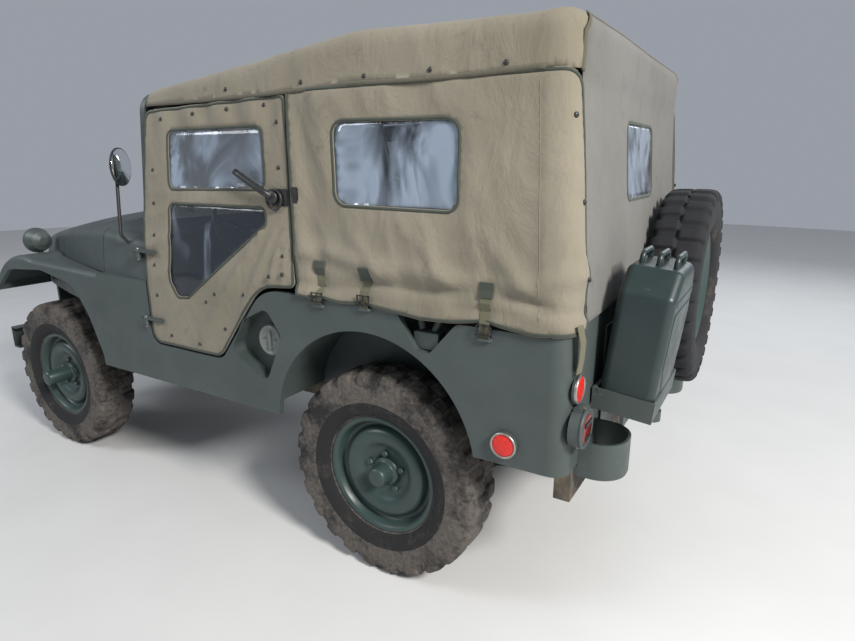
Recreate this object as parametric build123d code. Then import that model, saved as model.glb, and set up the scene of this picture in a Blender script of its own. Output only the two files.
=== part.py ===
from build123d import *
import math
import os

# Open four-wheel-drive field car with a canvas top, soft doors, a spare wheel and a fuel can at
# the rear. Millimetres. +X is forward, +Y is the left side, +Z is up. The origin is on the ground
# under the middle of the overall length.

# Clearances
SEAT_GAP = 0.3
MOVING_GAP = 6.0

# Running gear
WHEELBASE = 2057.0
TRACK = 1249.0
FRONT_AXLE_X = 1196.0
REAR_AXLE_X = FRONT_AXLE_X - WHEELBASE
TYRE_R = 387.0
TYRE_HALF_W = 92.5
TYRE_BULGE_R = 305.0
TREAD_DEPTH = 14.0
TREAD_HALF_W = 82.0
TREAD_WALL = 8.0
SHOULDER_R = TYRE_R - TREAD_DEPTH - 10.0
TYRE_SIDES = 24
BAR_SHARE = 0.56
ROAD_BARS = 24
SPARE_BARS = 32
BEAD_R = 204.0
BEAD_FIT = 0.3
BEAD_SIDE_FIT = 0.8
RIM_HALF_W = 66.0
RIM_FLANGE_R = 221.0
RIM_WALL = 5.0
DISC_FACE = 24.0
DISC_CROWN = 42.0
DISC_CROWN_R = 140.0
STUD_CIRCLE_R = 70.0
STUD_COUNT = 5
STUD_R = 8.0
STUD_HOLE_R = 8.3
HUB_R = 44.0
DRUM_R = 112.0
DRUM_BACK = -9.7
SPINDLE_R = 22.0
SPINDLE_FIT = 0.08
SPINDLE_END = 58.0
HUB_BORE_END = 62.0
REAR_CAP_END = 98.0
FRONT_CAP_END = 158.0
CAP_R = 36.0
AXLE_TUBE_R = 38.0
DIFF_R = 105.0
DIFF_Y = -190.0
DIFF_HALF_LENGTH = 95.0
KINGPIN_Y = 585.0
KINGPIN_R = 10.0
KINGPIN_FIT = 0.05
YOKE_HALF_H = 87.0
YOKE_ARM = 22.0
POST_R = 26.0
ARM_FORWARD = 150.0
ARM_INSET = 30.0
TIE_ROD_R = 12.0
TIE_PIN_R = 7.0
TIE_EYE_R = 18.0
TIE_END_PLAY = 9.0
BACKPLATE_R = 112.0
BACKPLATE_INNER = 606.0
BACKPLATE_T = 3.5

# Frame and springs
RAIL_OUTER_Y = 371.0
RAIL_W = 60.0
RAIL_WEB = 5.0
RAIL_BOTTOM_Z = 470.0
RAIL_TOP_Z = 570.0
REAR_FACE_X = -1545.0
GRILLE_X = 1574.0
RAIL_REAR_X = REAR_FACE_X + 60.0
RAIL_FRONT_X = GRILLE_X + 126.0
MOUNT_HALF = 25.0
REAR_MEMBER_DEPTH = 50.0
SPRING_Y = 345.0
SPRING_HALF_W = 22.5
SPRING_GAP = 0.3
LEAF_T = 7.0
LEAF_COUNT = 4
PERCH_H = 6.0
EYE_Z = 436.0
EYE_R = 18.0
EYE_PIN_R = 8.0
FRONT_SPRING_HALF = 460.0
REAR_SPRING_HALF = 533.0

# Body shell
BODY_HALF = 760.0
SHEET = 4.0
FLANGE = 22.0
FLOOR_Z = 600.0
FLOOR_T = 3.0
FLOOR_BASE_Z = FLOOR_Z + SHEET + SEAT_GAP
ENGINE_REAR_X = 660.0
GEARBOX_BOTTOM_Z = 509.3
ENGINE_BOTTOM_Z = 500.3
SILL_Z = 555.0
REAR_CORNER_R = 55.0
REAR_SPLIT_X = REAR_FACE_X + REAR_CORNER_R
SEAM_X = 629.0
SHELF_Z = 987.0
RAIL_SIDE_Z = 1018.0
DOOR_FRONT_X = 269.0
DOOR_SILL_Z = 722.0
DOOR_FOOT_X = -165.0
DOOR_SLOPE_TOP_X = -410.0
ARCH_Z = 525.0
ARCH_R = 408.0
WHEELHOUSE_GAP = 8.0
WHEELHOUSE_INNER_Y = TRACK / 2.0 - 119.5
COWL_REAR_Z = 1160.0
HOOD_GAP = 5.0
HOOD_FRONT_X = GRILLE_X + 26.0
HOOD_SHEET = 3.0
GRILLE_DEPTH = 16.0
SLOT_COUNT = 9
SLOT_PITCH = 50.0
SLOT_W = 26.0
LAMP_Y = BODY_HALF - 408.0
LAMP_Z = 905.0
LAMP_R = 86.0
FENDER_EDGE_R = 28.0
FENDER_NOSE_Z = 850.0
FENDER_FRONT_X = GRILLE_X + 30.0
BUMPER_REAR_X = RAIL_FRONT_X
BUMPER_FRONT_X = BUMPER_REAR_X + 60.0
BUMPER_HALF = BODY_HALF - 100.0
BUMPER_BOTTOM_Z = 440.0
BUMPER_TOP_Z = 560.0

# Canvas top, doors and windshield
CANVAS = 4.0
CANVAS_FOOT_Z = 1032.0
CANVAS_FOOT_Y = BODY_HALF - 3.0
CANVAS_TOP_Z = 1692.0
CANVAS_TOP_Y = CANVAS_FOOT_Y - 57.0
REAR_RAIL_Z = CANVAS_FOOT_Z - 0.3
CANVAS_FOOT_X = REAR_FACE_X - 3.0
CANVAS_CORNER_R = 60.0
FLAP_Y = CANVAS_TOP_Y - 45.0
ROOF_FRONT_X = 262.0
ROOF_FRONT_Z = 1735.5
ROOF_BOW_X = -800.0
ROOF_BOW_Z = 1850.0
ROOF_REAR_X = REAR_FACE_X + 49.0
CANVAS_TOP_X = ROOF_REAR_X + SEAT_GAP
ROOF_REAR_Z = 1836.0
ROOF_HEM_Z = 1690.0
ROOF_HEM_Y = CANVAS_TOP_Y + CANVAS + 1.5
ROOF_SHOULDER_Y = CANVAS_TOP_Y - 18.0
DOOR_T = 14.0
DOOR_OUTER_Y = BODY_HALF - 2.0
DOOR_REAR_X = -577.0
DOOR_TOP_REAR_X = -522.0
DOOR_TOP_REAR_Z = 1683.0
DOOR_TOP_FRONT_X = 222.0
DOOR_TOP_FRONT_Z = 1663.0
CURTAIN_GAP = 7.0
CURTAIN_FRONT_X = DOOR_REAR_X - CURTAIN_GAP
CURTAIN_TOP_X = DOOR_TOP_REAR_X - CURTAIN_GAP
CUT_INNER_Y = BODY_HALF - 160.0
CUT_OUTER_Y = BODY_HALF + 40.0
WINDOW_T = 1.5
HINGE_X = 276.0
HINGE_Y = BODY_HALF + 12.0
HINGE_PIN_R = 5.0
HINGE_PIN_FIT = 0.05
HINGE_EYE_R = 9.0
HINGE_EYE_H = 26.0
HINGE_Z = (800.0, 1085.0)
HOOD_HINGE_X = 631.0
HOOD_HINGE_Z = 1263.0
HOOD_HINGE_R = 7.0
HOOD_PIN_R = 4.0
HOOD_PIN_FIT = 0.05
HOOD_HINGE_Y = (-300.0, 300.0)
SHIELD_FOOT_X = 312.0
SHIELD_FOOT_Z = 1166.0
SHIELD_H = 569.5
SHIELD_LEAN = 7.5
SHIELD_HALF = CANVAS_TOP_Y + 4.0 - 6.0
SHIELD_CORNER_R = 70.0
SHIELD_T = 26.0
SHIELD_BAR = 42.0
BOW_R = 12.0
BOW_FOOT_X = -1080.0
BOW_FOOT_Y = BODY_HALF - 48.0
BOW_FOOT_Z = 962.0
BOW_BEND_R = 85.0

# Controls and seats
COLUMN_Y = 350.0
WHEEL_HUB_X = 20.0
WHEEL_HUB_Z = 1165.0
WHEEL_RING_R = 212.0
WHEEL_GRIP_R = 9.0
COLUMN_SLOPE = 35.0
COLUMN_R = 18.0
SHAFT_R = 9.0
SHAFT_FIT = 0.05
SEAT_TOP_Z = 880.0
SEAT_PAD = 75.0
SEAT_W = 440.0
SEAT_DEPTH = 430.0
SEAT_FRONT_X = 5.0
SEAT_CENTRES_Y = (-380.0, 380.0)
BENCH_TOP_Z = 900.0
BENCH_HALF = 480.0
SEAT_TUBE_R = 12.0
BENCH_POST_X = REAR_FACE_X + 34.3

# Load at the rear
SPARE_X = REAR_FACE_X - 109.0
SPARE_Y = -350.0
SPARE_Z = 973.0
CAN_Y0 = 215.0
CAN_Y1 = 550.0
CAN_T = 158.0
CAN_H = 430.0
CAN_BEVEL = 70.0
CAN_EDGE_R = 24.0
CAN_FOOT_Z = 755.0
CAN_FOOT_X = REAR_FACE_X - 17.0
CAN_LEAN = 6.0
CAN_HANDLE_R = 8.0
CAN_HANDLE_PITCH = 48.0
CAN_HANDLE_HALF = 62.0
CAN_HANDLE_RISE = 30.0
LOOP_Y0 = 450.0
LOOP_Y1 = 640.0
LOOP_LENGTH = 124.0
LOOP_LEFT_Z = 560.0
LOOP_RIGHT_Z = 455.0
LOOP_H = 112.0
LOOP_T = 8.0
LOOP_BEND_R = 85.0
EYE_HOOK_REACH = 100.0
EYE_HOOK_R = 34.0
EYE_HOOK_BORE_R = 17.0
EYE_HOOK_Z0 = 515.0
EYE_HOOK_Z1 = 555.0
LAMP_REAR_Y = BODY_HALF - 60.0
LAMP_REAR_Z = 746.0
LAMP_REAR_RIGHT_Z = 668.0
LAMP_REAR_R = 58.0
LAMP_REAR_DEPTH = 30.0
MIRROR_TURN = 29.0
MIRROR_R = 77.0
MIRROR_Z = 1449.0


def block(x0, x1, y0, y1, z0, z1):
    """Box between two opposite corners."""
    corner = (Align.MIN, Align.MIN, Align.MIN)
    return Pos(x0, y0, z0) * Box(x1 - x0, y1 - y0, z1 - z0, align=corner)


def rod(start, end, radius):
    """Round bar from one point to another."""
    axis = Vector(*end) - Vector(*start)
    base = Plane(origin=start, z_dir=axis)
    return base * Cylinder(radius, axis.length, align=(Align.CENTER, Align.CENTER, Align.MIN))


def tube(start, end, radius, bore):
    """Round bar with a bore right through it."""
    return rod(start, end, radius) - rod(start, end, bore)


def bent_rod(points, radius, bends):
    """Round bar along straight runs joined by arcs."""
    path = FilletPolyline(*points, radius=bends)
    return sweep(Plane(origin=path @ 0, z_dir=path % 0) * Circle(radius), path=path)


def outline(points, radii=None):
    """Flat face from its corners, each rounded by its own radius or all by one."""
    if radii is None:
        return make_face(Polyline(*points, close=True))
    return make_face(FilletPolyline(*points, radius=radii, close=True))


def side_prism(face, y0, y1):
    """Face drawn in X and Z, pulled from y0 to y1."""
    upright = Plane(origin=(0, y0, 0), x_dir=(1, 0, 0), z_dir=(0, -1, 0))
    return extrude(upright * face, amount=y1 - y0, dir=(0, 1, 0))


def across_plane(x):
    """Plane across the car, drawn in Y and Z."""
    return Plane(origin=(x, 0, 0), x_dir=(0, 1, 0), z_dir=(1, 0, 0))


def cross_prism(face, x0, x1):
    """Face drawn in Y and Z, pulled from x0 to x1."""
    return extrude(across_plane(x0) * face, amount=x1 - x0, dir=(1, 0, 0))


def plan_prism(face, z0, z1):
    """Face drawn in X and Y, pulled from z0 to z1."""
    return extrude(Pos(0, 0, z0) * face, amount=z1 - z0, dir=(0, 0, 1))


def other_side(shape):
    """The same piece on the other side of the car."""
    return mirror(shape, about=Plane.XZ)


def both_sides(shape):
    """A left piece with its right twin."""
    return [shape, other_side(shape)]


def turned(profile, x, y, z, side=1):
    """Profile of (outward, radius) corners turned about the wheel axis, facing left or right."""
    face = outline([(radius, outward) for outward, radius in profile])
    ring = revolve(Plane.XZ * face, axis=Axis.Z)
    return Pos(x, y, z) * Rot(-90.0 * side, 0, 0) * ring


def save(node, shapes):
    """Write one node from one solid or a list of solids."""
    solids = []
    for shape in shapes if isinstance(shapes, (list, tuple)) else [shapes]:
        solids.extend(shape.solids())
    piece = solids[0] if len(solids) == 1 else Compound(children=solids)
    piece.label = node
    export_step(piece, f"parts/{node}.step")


# Wheels

def tread_row(bars, shift):
    """Outline of one row of tread bars, turned by a share of their pitch."""
    root = TYRE_R - TREAD_DEPTH
    pitch = 2.0 * math.pi / bars
    half = 0.5 * BAR_SHARE * pitch
    points = []
    for index in range(bars):
        middle = (index + shift) * pitch
        for radius, angle in ((root, -half), (TYRE_R, -half), (TYRE_R, half), (root, half)):
            points.append((radius * math.cos(middle + angle), radius * math.sin(middle + angle)))
    return outline(points)


def tyre_ring(outward, radius, sides):
    """Flat many-sided section of a tyre, with its sides at the given radius."""
    return Pos(0, 0, outward) * RegularPolygon(radius, sides, major_radius=False)


def tyre_solid(bars):
    """Tyre about the Z axis: many-sided walls and two staggered rows of tread bars."""
    bead = BEAD_R + BEAD_FIT
    bead_half = RIM_HALF_W - RIM_WALL - BEAD_SIDE_FIT
    slope = (TYRE_BULGE_R - bead) / (TYRE_HALF_W - bead_half)
    # distance outward, radius
    outside = [(TREAD_HALF_W, SHOULDER_R), (TYRE_HALF_W, TYRE_BULGE_R)]
    inside = [(bead_half, bead), (TYRE_HALF_W + 1.0, TYRE_BULGE_R + slope)]
    carcass = loft(ring_row(outside, TYRE_SIDES), ruled=True) - loft(ring_row(inside, TYRE_SIDES), ruled=True)
    rows = [
        extrude(tread_row(bars, 0.5), amount=TREAD_HALF_W),
        extrude(tread_row(bars, 0.0), amount=-TREAD_HALF_W),
    ]
    hollow = extrude(tyre_ring(0.0, SHOULDER_R - TREAD_WALL, TYRE_SIDES), amount=TREAD_HALF_W, both=True)
    return carcass + [row - hollow for row in rows]


def ring_row(half_row, sides):
    """Sections of both halves of a tyre in order, from one half's places."""
    whole = [(-outward, radius) for outward, radius in reversed(half_row)] + list(half_row)
    return [tyre_ring(outward, radius, sides) for outward, radius in whole]


def tyre_at(shape, x, y, z, side):
    """A tyre moved onto its wheel."""
    return Pos(x, y, z) * Rot(-90.0 * side, 0, 0) * shape


def rim_profile():
    """Rim band with a dished disc, as (outward, radius) corners of a closed section."""
    inner = BEAD_R - RIM_WALL
    edge = RIM_HALF_W - RIM_WALL
    return [
        (-RIM_HALF_W, RIM_FLANGE_R),
        (-edge, BEAD_R),
        (edge, BEAD_R),
        (RIM_HALF_W, RIM_FLANGE_R),
        (RIM_HALF_W, inner),
        (DISC_CROWN, DISC_CROWN_R + RIM_WALL),
        (DISC_FACE + RIM_WALL, DISC_CROWN_R - 45.0),
        (DISC_FACE + RIM_WALL, HUB_R - 6.0),
        (DISC_FACE, HUB_R - 6.0),
        (DISC_FACE, DISC_CROWN_R - 43.0),
        (DISC_CROWN - RIM_WALL, DISC_CROWN_R),
        (DISC_CROWN, inner),
        (-RIM_HALF_W, inner),
    ]


def stud_places():
    """Angles of the wheel studs."""
    return [90.0 + 360.0 * index / STUD_COUNT for index in range(STUD_COUNT)]


def rim(x, y, z, side):
    """Steel wheel with its stud holes open."""
    wheel = turned(rim_profile(), x, y, z, side)
    for angle in stud_places():
        across = STUD_CIRCLE_R * math.cos(math.radians(angle))
        up = STUD_CIRCLE_R * math.sin(math.radians(angle))
        face = y + side * DISC_FACE
        start = (x + across, face - side * 2.0, z + up)
        end = (x + across, face + side * (RIM_WALL + 2.0), z + up)
        wheel -= rod(start, end, STUD_HOLE_R)
    return wheel


def hub_and_drum(x, side, cap_end, cap_r):
    """Brake drum, hub and cap that turn with the wheel, bored for the spindle."""
    y = side * TRACK / 2.0
    profile = [
        (DRUM_BACK, 0.0),
        (DRUM_BACK, DRUM_R),
        (DISC_FACE, DRUM_R),
        (DISC_FACE, HUB_R - 6.3),
        (DISC_FACE + 20.0, HUB_R - 6.3),
        (HUB_BORE_END + 6.0, cap_r),
        (cap_end - 10.0, cap_r),
        (cap_end, cap_r * 0.6),
        (cap_end, 0.0),
    ]
    hub = turned(profile, x, y, TYRE_R, side)
    bore = rod((x, y + side * (DRUM_BACK - 1.0), TYRE_R), (x, y + side * HUB_BORE_END, TYRE_R),
               SPINDLE_R + SPINDLE_FIT)
    hub -= bore
    for angle in stud_places():
        across = STUD_CIRCLE_R * math.cos(math.radians(angle))
        up = STUD_CIRCLE_R * math.sin(math.radians(angle))
        start = (x + across, y + side * (DISC_FACE - 4.0), TYRE_R + up)
        end = (x + across, y + side * (DISC_FACE + RIM_WALL + 12.0), TYRE_R + up)
        hub += rod(start, end, STUD_R)
    return hub


def road_wheels():
    """Four wheels, each with its tyre, rim and hub in the same place."""
    # name, axle X, side, cap end, cap radius
    table = [
        ("front_left", FRONT_AXLE_X, 1, FRONT_CAP_END, CAP_R),
        ("front_right", FRONT_AXLE_X, -1, FRONT_CAP_END, CAP_R),
        ("rear_left", REAR_AXLE_X, 1, REAR_CAP_END, HUB_R - 8.0),
        ("rear_right", REAR_AXLE_X, -1, REAR_CAP_END, HUB_R - 8.0),
    ]
    road_tyre = tyre_solid(ROAD_BARS)
    for name, x, side, cap_end, cap_r in table:
        y = side * TRACK / 2.0
        save(f"tyre_{name}", tyre_at(road_tyre, x, y, TYRE_R, side))
        save(f"wheel_{name}", [rim(x, y, TYRE_R, side), hub_and_drum(x, side, cap_end, cap_r)])


# Frame, springs and axles

def frame_rail():
    """Left channel rail with its open side facing inwards."""
    corners = [
        (RAIL_REAR_X, RAIL_BOTTOM_Z),
        (RAIL_FRONT_X, RAIL_BOTTOM_Z - 8.0),
        (RAIL_FRONT_X, BUMPER_TOP_Z - 20.0),
        (RAIL_FRONT_X - 340.0, RAIL_TOP_Z),
        (RAIL_REAR_X, RAIL_TOP_Z),
    ]
    face = outline(corners)
    rail = side_prism(face, RAIL_OUTER_Y - RAIL_W, RAIL_OUTER_Y)
    hollow = offset(face, amount=-RAIL_WEB, kind=Kind.INTERSECTION)
    return rail - side_prism(hollow, RAIL_OUTER_Y - RAIL_W - 1.0, RAIL_OUTER_Y - RAIL_WEB)


def spring_hanger(x):
    """Clevis under the rail that holds one spring eye on its pin."""
    reach = SPRING_HALF_W + SPRING_GAP + 6.0
    inner = SPRING_HALF_W + SPRING_GAP
    hanger = block(x - EYE_R, x + EYE_R, SPRING_Y - reach, SPRING_Y + reach, EYE_Z - 14.0, RAIL_BOTTOM_Z)
    slot_top = EYE_Z + EYE_R + 6.0
    hanger -= block(x - 40.0, x + 40.0, SPRING_Y - inner, SPRING_Y + inner, EYE_Z - 40.0, slot_top)
    return hanger + rod((x, SPRING_Y - reach, EYE_Z), (x, SPRING_Y + reach, EYE_Z), EYE_PIN_R)


def spring_ends():
    """X of each spring eye."""
    return [
        FRONT_AXLE_X - FRONT_SPRING_HALF,
        FRONT_AXLE_X + FRONT_SPRING_HALF,
        REAR_AXLE_X - REAR_SPRING_HALF,
        REAR_AXLE_X + REAR_SPRING_HALF,
    ]


def chassis_frame():
    """Two rails with cross-members, spring hangers and body mounts."""
    left = frame_rail()
    for x in spring_ends():
        left += spring_hanger(x)
    # X of each body mount, top Z
    for x, top in (
        (-1440.0, FLOOR_BASE_Z - SEAT_GAP),
        (-390.0, FLOOR_BASE_Z - SEAT_GAP),
        (120.0, FLOOR_BASE_Z - SEAT_GAP),
        (460.0, FLOOR_BASE_Z - SEAT_GAP),
        (GRILLE_X + 6.0, FLOOR_Z - SEAT_GAP),
    ):
        left += block(x - MOUNT_HALF, x + MOUNT_HALF, RAIL_OUTER_Y - RAIL_W, RAIL_OUTER_Y - 2.0, 545.0, top)
    frame = left + other_side(left)
    # rear X, front X, bottom Z, top Z of each cross-member
    members = [
        (RAIL_FRONT_X - 90.0, RAIL_FRONT_X - 40.0, 485.0, 530.0),
        (GRILLE_X - 94.0, GRILLE_X - 44.0, 476.0, ENGINE_BOTTOM_Z - SEAT_GAP),
        (1050.0, 1110.0, 478.0, ENGINE_BOTTOM_Z - SEAT_GAP),
        (330.0, 400.0, 493.0, GEARBOX_BOTTOM_Z - SEAT_GAP),
        (-480.0, -430.0, 500.0, 560.0),
    ]
    web = RAIL_OUTER_Y - 2.0
    for x0, x1, z0, z1 in members:
        frame += block(x0, x1, -web, web, z0, z1)
    frame += block(RAIL_REAR_X - REAR_MEMBER_DEPTH, RAIL_REAR_X + 1.0, -BUMPER_HALF, BUMPER_HALF, 478.0, 592.0)
    return frame


def leaf_spring(axle_x, half, toward):
    """Stack of curved leaves with an eye at each end of the longest one."""
    top_z = TYRE_R - AXLE_TUBE_R - PERCH_H
    rise = EYE_Z - (top_z - LEAF_T / 2.0)
    radius = (half * half + rise * rise) / (2.0 * rise)
    centre_z = EYE_Z - rise + radius
    stack = None
    for index in range(LEAF_COUNT):
        inner = radius - LEAF_T / 2.0 + index * LEAF_T
        reach = half * (1.0 - 0.22 * index)
        ring = Circle(inner + LEAF_T) - Circle(inner)
        window = Pos(0, -radius) * Rectangle(2.0 * reach, radius)
        leaf = Pos(axle_x, centre_z) * (ring & window)
        strip = side_prism(leaf, SPRING_Y - SPRING_HALF_W, SPRING_Y + SPRING_HALF_W)
        stack = strip if stack is None else stack + strip
    for x in (axle_x - half, axle_x + half):
        start = (x, SPRING_Y - SPRING_HALF_W, EYE_Z)
        end = (x, SPRING_Y + SPRING_HALF_W, EYE_Z)
        stack = stack + rod(start, end, EYE_R)
        stack = stack - rod(start, end, EYE_PIN_R + SPRING_GAP)
    foot = top_z - LEAF_T * LEAF_COUNT
    reach = sorted((axle_x - toward * 50.0, axle_x + toward * 92.0))
    stack = stack + block(*reach, SPRING_Y - 40.0, SPRING_Y + 40.0, foot - 9.0, foot + 2.0)
    return stack + damper(axle_x, toward, foot - 4.0)


def damper(axle_x, toward, pin_z):
    """Telescopic damper between the spring plate and the rail."""
    low_x = axle_x + toward * 80.0
    high_x = axle_x + toward * 150.0
    y = RAIL_OUTER_Y + 34.0
    low, high = (low_x, y, pin_z), (high_x, y, 548.0)
    middle = ((low_x + high_x) / 2.0, y, (pin_z + 548.0) / 2.0)
    body = rod(low, middle, 24.0) + rod(middle, high, 19.0)
    body += rod((low_x, SPRING_Y + 30.0, pin_z + 8.0), (low_x, y, pin_z + 8.0), 8.0)
    return body + rod((high_x, RAIL_OUTER_Y + SEAT_GAP, 538.0), (high_x, y, 538.0), 9.0)


def suspension():
    """Four leaf springs, each with its damper."""
    pieces = []
    # axle X, half the spring's length, which way the damper leans
    for axle_x, half, toward in (
        (FRONT_AXLE_X, FRONT_SPRING_HALF, -1.0),
        (REAR_AXLE_X, REAR_SPRING_HALF, 1.0),
    ):
        pieces += both_sides(leaf_spring(axle_x, half, toward))
    return pieces


def axle_beam(axle_x, end_y, cover_side):
    """Axle tube, spring perches and the offset differential with its cover and nose."""
    beam = rod((axle_x, -end_y, TYRE_R), (axle_x, end_y, TYRE_R), AXLE_TUBE_R)
    for side in (1, -1):
        y = side * SPRING_Y
        low = TYRE_R - AXLE_TUBE_R - PERCH_H + SEAT_GAP + 0.6
        beam += block(axle_x - 35.0, axle_x + 35.0, y - SPRING_HALF_W, y + SPRING_HALF_W, low, TYRE_R)
    # distance along X towards the cover, radius
    steps = [(-DIFF_HALF_LENGTH - 70.0, 40.0), (-60.0, 70.0), (-30.0, DIFF_R), (60.0, DIFF_R), (DIFF_HALF_LENGTH, 70.0)]
    corners = [(radius, along) for along, radius in steps]
    corners = [(0.0, steps[0][0])] + corners + [(0.0, steps[-1][0])]
    bulb = revolve(Plane.XZ * outline(corners), axis=Axis.Z)
    return beam + Pos(axle_x, DIFF_Y, TYRE_R) * Rot(0, 90.0 * cover_side, 0) * bulb


def rear_axle():
    """Rear axle with its fixed brake plates and wheel spindles."""
    beam = axle_beam(REAR_AXLE_X, BACKPLATE_INNER, -1)
    for side in (1, -1):
        beam += rod((REAR_AXLE_X, side * BACKPLATE_INNER, TYRE_R),
                    (REAR_AXLE_X, side * (BACKPLATE_INNER + BACKPLATE_T), TYRE_R), BACKPLATE_R)
        beam += spindle(REAR_AXLE_X, side)
    return beam


def spindle(axle_x, side):
    """Stub shaft that carries a wheel hub, with the shoulder that the hub meets."""
    y = side * TRACK / 2.0
    shoulder = y + side * (DRUM_BACK - SEAT_GAP)
    start = (axle_x, side * BACKPLATE_INNER, TYRE_R)
    stub = rod(start, (axle_x, shoulder, TYRE_R), SPINDLE_R + 10.0)
    return stub + rod(start, (axle_x, y + side * SPINDLE_END, TYRE_R), SPINDLE_R)


def front_axle():
    """Front axle whose forked ends hold the steering pivots."""
    beam = axle_beam(FRONT_AXLE_X, KINGPIN_Y - 64.0, 1)
    for side in (1, -1):
        y = side * KINGPIN_Y
        root = y - side * 50.0
        low, high = sorted((root, root - side * 16.0))
        beam += block(FRONT_AXLE_X - YOKE_ARM, FRONT_AXLE_X + YOKE_ARM, low, high,
                      TYRE_R - YOKE_HALF_H, TYRE_R + YOKE_HALF_H)
        for level in (1, -1):
            top = TYRE_R + level * YOKE_HALF_H
            bottom = top - level * YOKE_ARM
            z0, z1 = sorted((top, bottom))
            arm_low, arm_high = sorted((root, y))
            arm = block(FRONT_AXLE_X - 18.0, FRONT_AXLE_X + 18.0, arm_low, arm_high, z0, z1)
            arm += rod((FRONT_AXLE_X, y, z0), (FRONT_AXLE_X, y, z1), 18.0)
            arm -= rod((FRONT_AXLE_X, y, z0 - 1.0), (FRONT_AXLE_X, y, z1 + 1.0), KINGPIN_R + KINGPIN_FIT)
            beam += arm
    return beam


def arm_end(side):
    """Place of the tie-rod pin on one steering arm."""
    return FRONT_AXLE_X + ARM_FORWARD, side * (KINGPIN_Y - ARM_INSET)


def knuckle(side):
    """Steering knuckle: pivot post and pins, brake plate, spindle and steering arm."""
    x, y, z = FRONT_AXLE_X, side * KINGPIN_Y, TYRE_R
    half = YOKE_HALF_H - YOKE_ARM
    part = rod((x, y, z - half + SEAT_GAP), (x, y, z + half - MOVING_GAP), POST_R)
    part += rod((x, y, z - YOKE_HALF_H), (x, y, z + YOKE_HALF_H), KINGPIN_R)
    part += rod((x, y, z), (x, side * BACKPLATE_INNER, z), SPINDLE_R + 10.0)
    part += rod((x, side * BACKPLATE_INNER, z), (x, side * (BACKPLATE_INNER + BACKPLATE_T), z), BACKPLATE_R)
    part += spindle(x, side)
    end_x, end_y = arm_end(side)
    arm = outline([
        (x, y - side * 16.0),
        (end_x, end_y - side * 14.0),
        (end_x, end_y + side * 14.0),
        (x, y + side * 16.0),
    ])
    part += plan_prism(arm, z + 8.0, z + 24.0)
    part += rod((end_x, end_y, z + 8.0), (end_x, end_y, z + 24.0), 14.0)
    return part + rod((end_x, end_y, z - 18.0), (end_x, end_y, z + 9.0), TIE_PIN_R)


def tie_rod():
    """Rod between the steering arms, tight on the left pin and with an open eye on the right one."""
    x, y = arm_end(1)
    z0, z1 = TYRE_R - 16.0, TYRE_R + 8.0 - SEAT_GAP
    middle = (z0 + z1) / 2.0
    part = rod((x, y - 12.0, middle), (x, 12.0 - y, middle), TIE_ROD_R - 1.0)
    # side of the eye, bore radius, outer radius
    for side, bore, outer in (
        (1, TIE_PIN_R + KINGPIN_FIT, TIE_EYE_R),
        (-1, TIE_PIN_R + TIE_END_PLAY, TIE_EYE_R + TIE_END_PLAY),
    ):
        part += rod((x, side * y, z0), (x, side * y, z1), outer)
        part -= rod((x, side * y, z0 - 1.0), (x, side * y, z1 + 1.0), bore)
    return part


# Body tub

def tub_side_face():
    """Outline of the left body side with its door opening, arch and notched top rail."""
    corners = [
        (REAR_SPLIT_X, FLOOR_Z),
        (REAR_AXLE_X - 430.0, FLOOR_Z),
        (-440.0, SILL_Z),
        (SEAM_X, SILL_Z),
        (SEAM_X, SHELF_Z),
        (DOOR_FRONT_X, SHELF_Z),
        (DOOR_FRONT_X, DOOR_SILL_Z),
        (DOOR_FOOT_X, DOOR_SILL_Z),
        (DOOR_SLOPE_TOP_X, RAIL_SIDE_Z + 8.0),
        (-990.0, RAIL_SIDE_Z),
        (-1056.0, 905.0),
        (-1106.0, 900.0),
        (-1200.0, RAIL_SIDE_Z - 10.0),
        (REAR_SPLIT_X, RAIL_SIDE_Z - 12.0),
    ]
    radii = [0, 0, 0, 0, 0, 0, 60.0, 70.0, 150.0, 30.0, 22.0, 22.0, 40.0, 0]
    face = outline(corners, radii)
    arch = Pos(REAR_AXLE_X, ARCH_Z) * Circle(ARCH_R)
    return face - arch


def filler_outline():
    """Teardrop outline of the fuel filler pocket."""
    corners = [(-422.0, 958.0), (-492.0, 862.0), (-402.0, 672.0), (-222.0, 772.0), (-302.0, 900.0)]
    return outline(corners, 34.0)


def tub_side(side):
    """Pressed body side with its inward flange, the left one with the filler pocket."""
    face = tub_side_face()
    panel = side_prism(face, BODY_HALF - FLANGE, BODY_HALF)
    hollow = offset(face, amount=-SHEET, kind=Kind.INTERSECTION)
    panel -= side_prism(hollow, BODY_HALF - FLANGE - 1.0, BODY_HALF - SHEET)
    if side > 0:
        pocket = filler_outline()
        panel -= side_prism(pocket, BODY_HALF - 10.0, BODY_HALF + 1.0)
        rim_wall = offset(pocket, amount=SHEET - 1.0)
        cup = side_prism(rim_wall, BODY_HALF - 62.0, BODY_HALF - 0.5)
        cup -= side_prism(pocket, BODY_HALF - 59.0, BODY_HALF + 1.0)
        cup -= rod((-409.0, BODY_HALF - 70.0, 829.0), (-409.0, BODY_HALF - 50.0, 829.0), 36.5)
        panel += cup
        return panel + hinge_eye(HINGE_Z[0], BODY_HALF - 1.0)
    return other_side(panel + hinge_eye(HINGE_Z[0], BODY_HALF - 1.0))


def hinge_eye(z, root_y):
    """One eye for a door pin, with its bracket on the body side at root_y."""
    top = z + HINGE_EYE_H
    eye = rod((HINGE_X, HINGE_Y, z), (HINGE_X, HINGE_Y, top), HINGE_EYE_R)
    eye += block(HINGE_X, HINGE_X + 60.0, root_y, HINGE_Y - 3.0, z, top)
    return eye - rod((HINGE_X, HINGE_Y, z - 1.0), (HINGE_X, HINGE_Y, top + 1.0), HINGE_PIN_R + HINGE_PIN_FIT)


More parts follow.
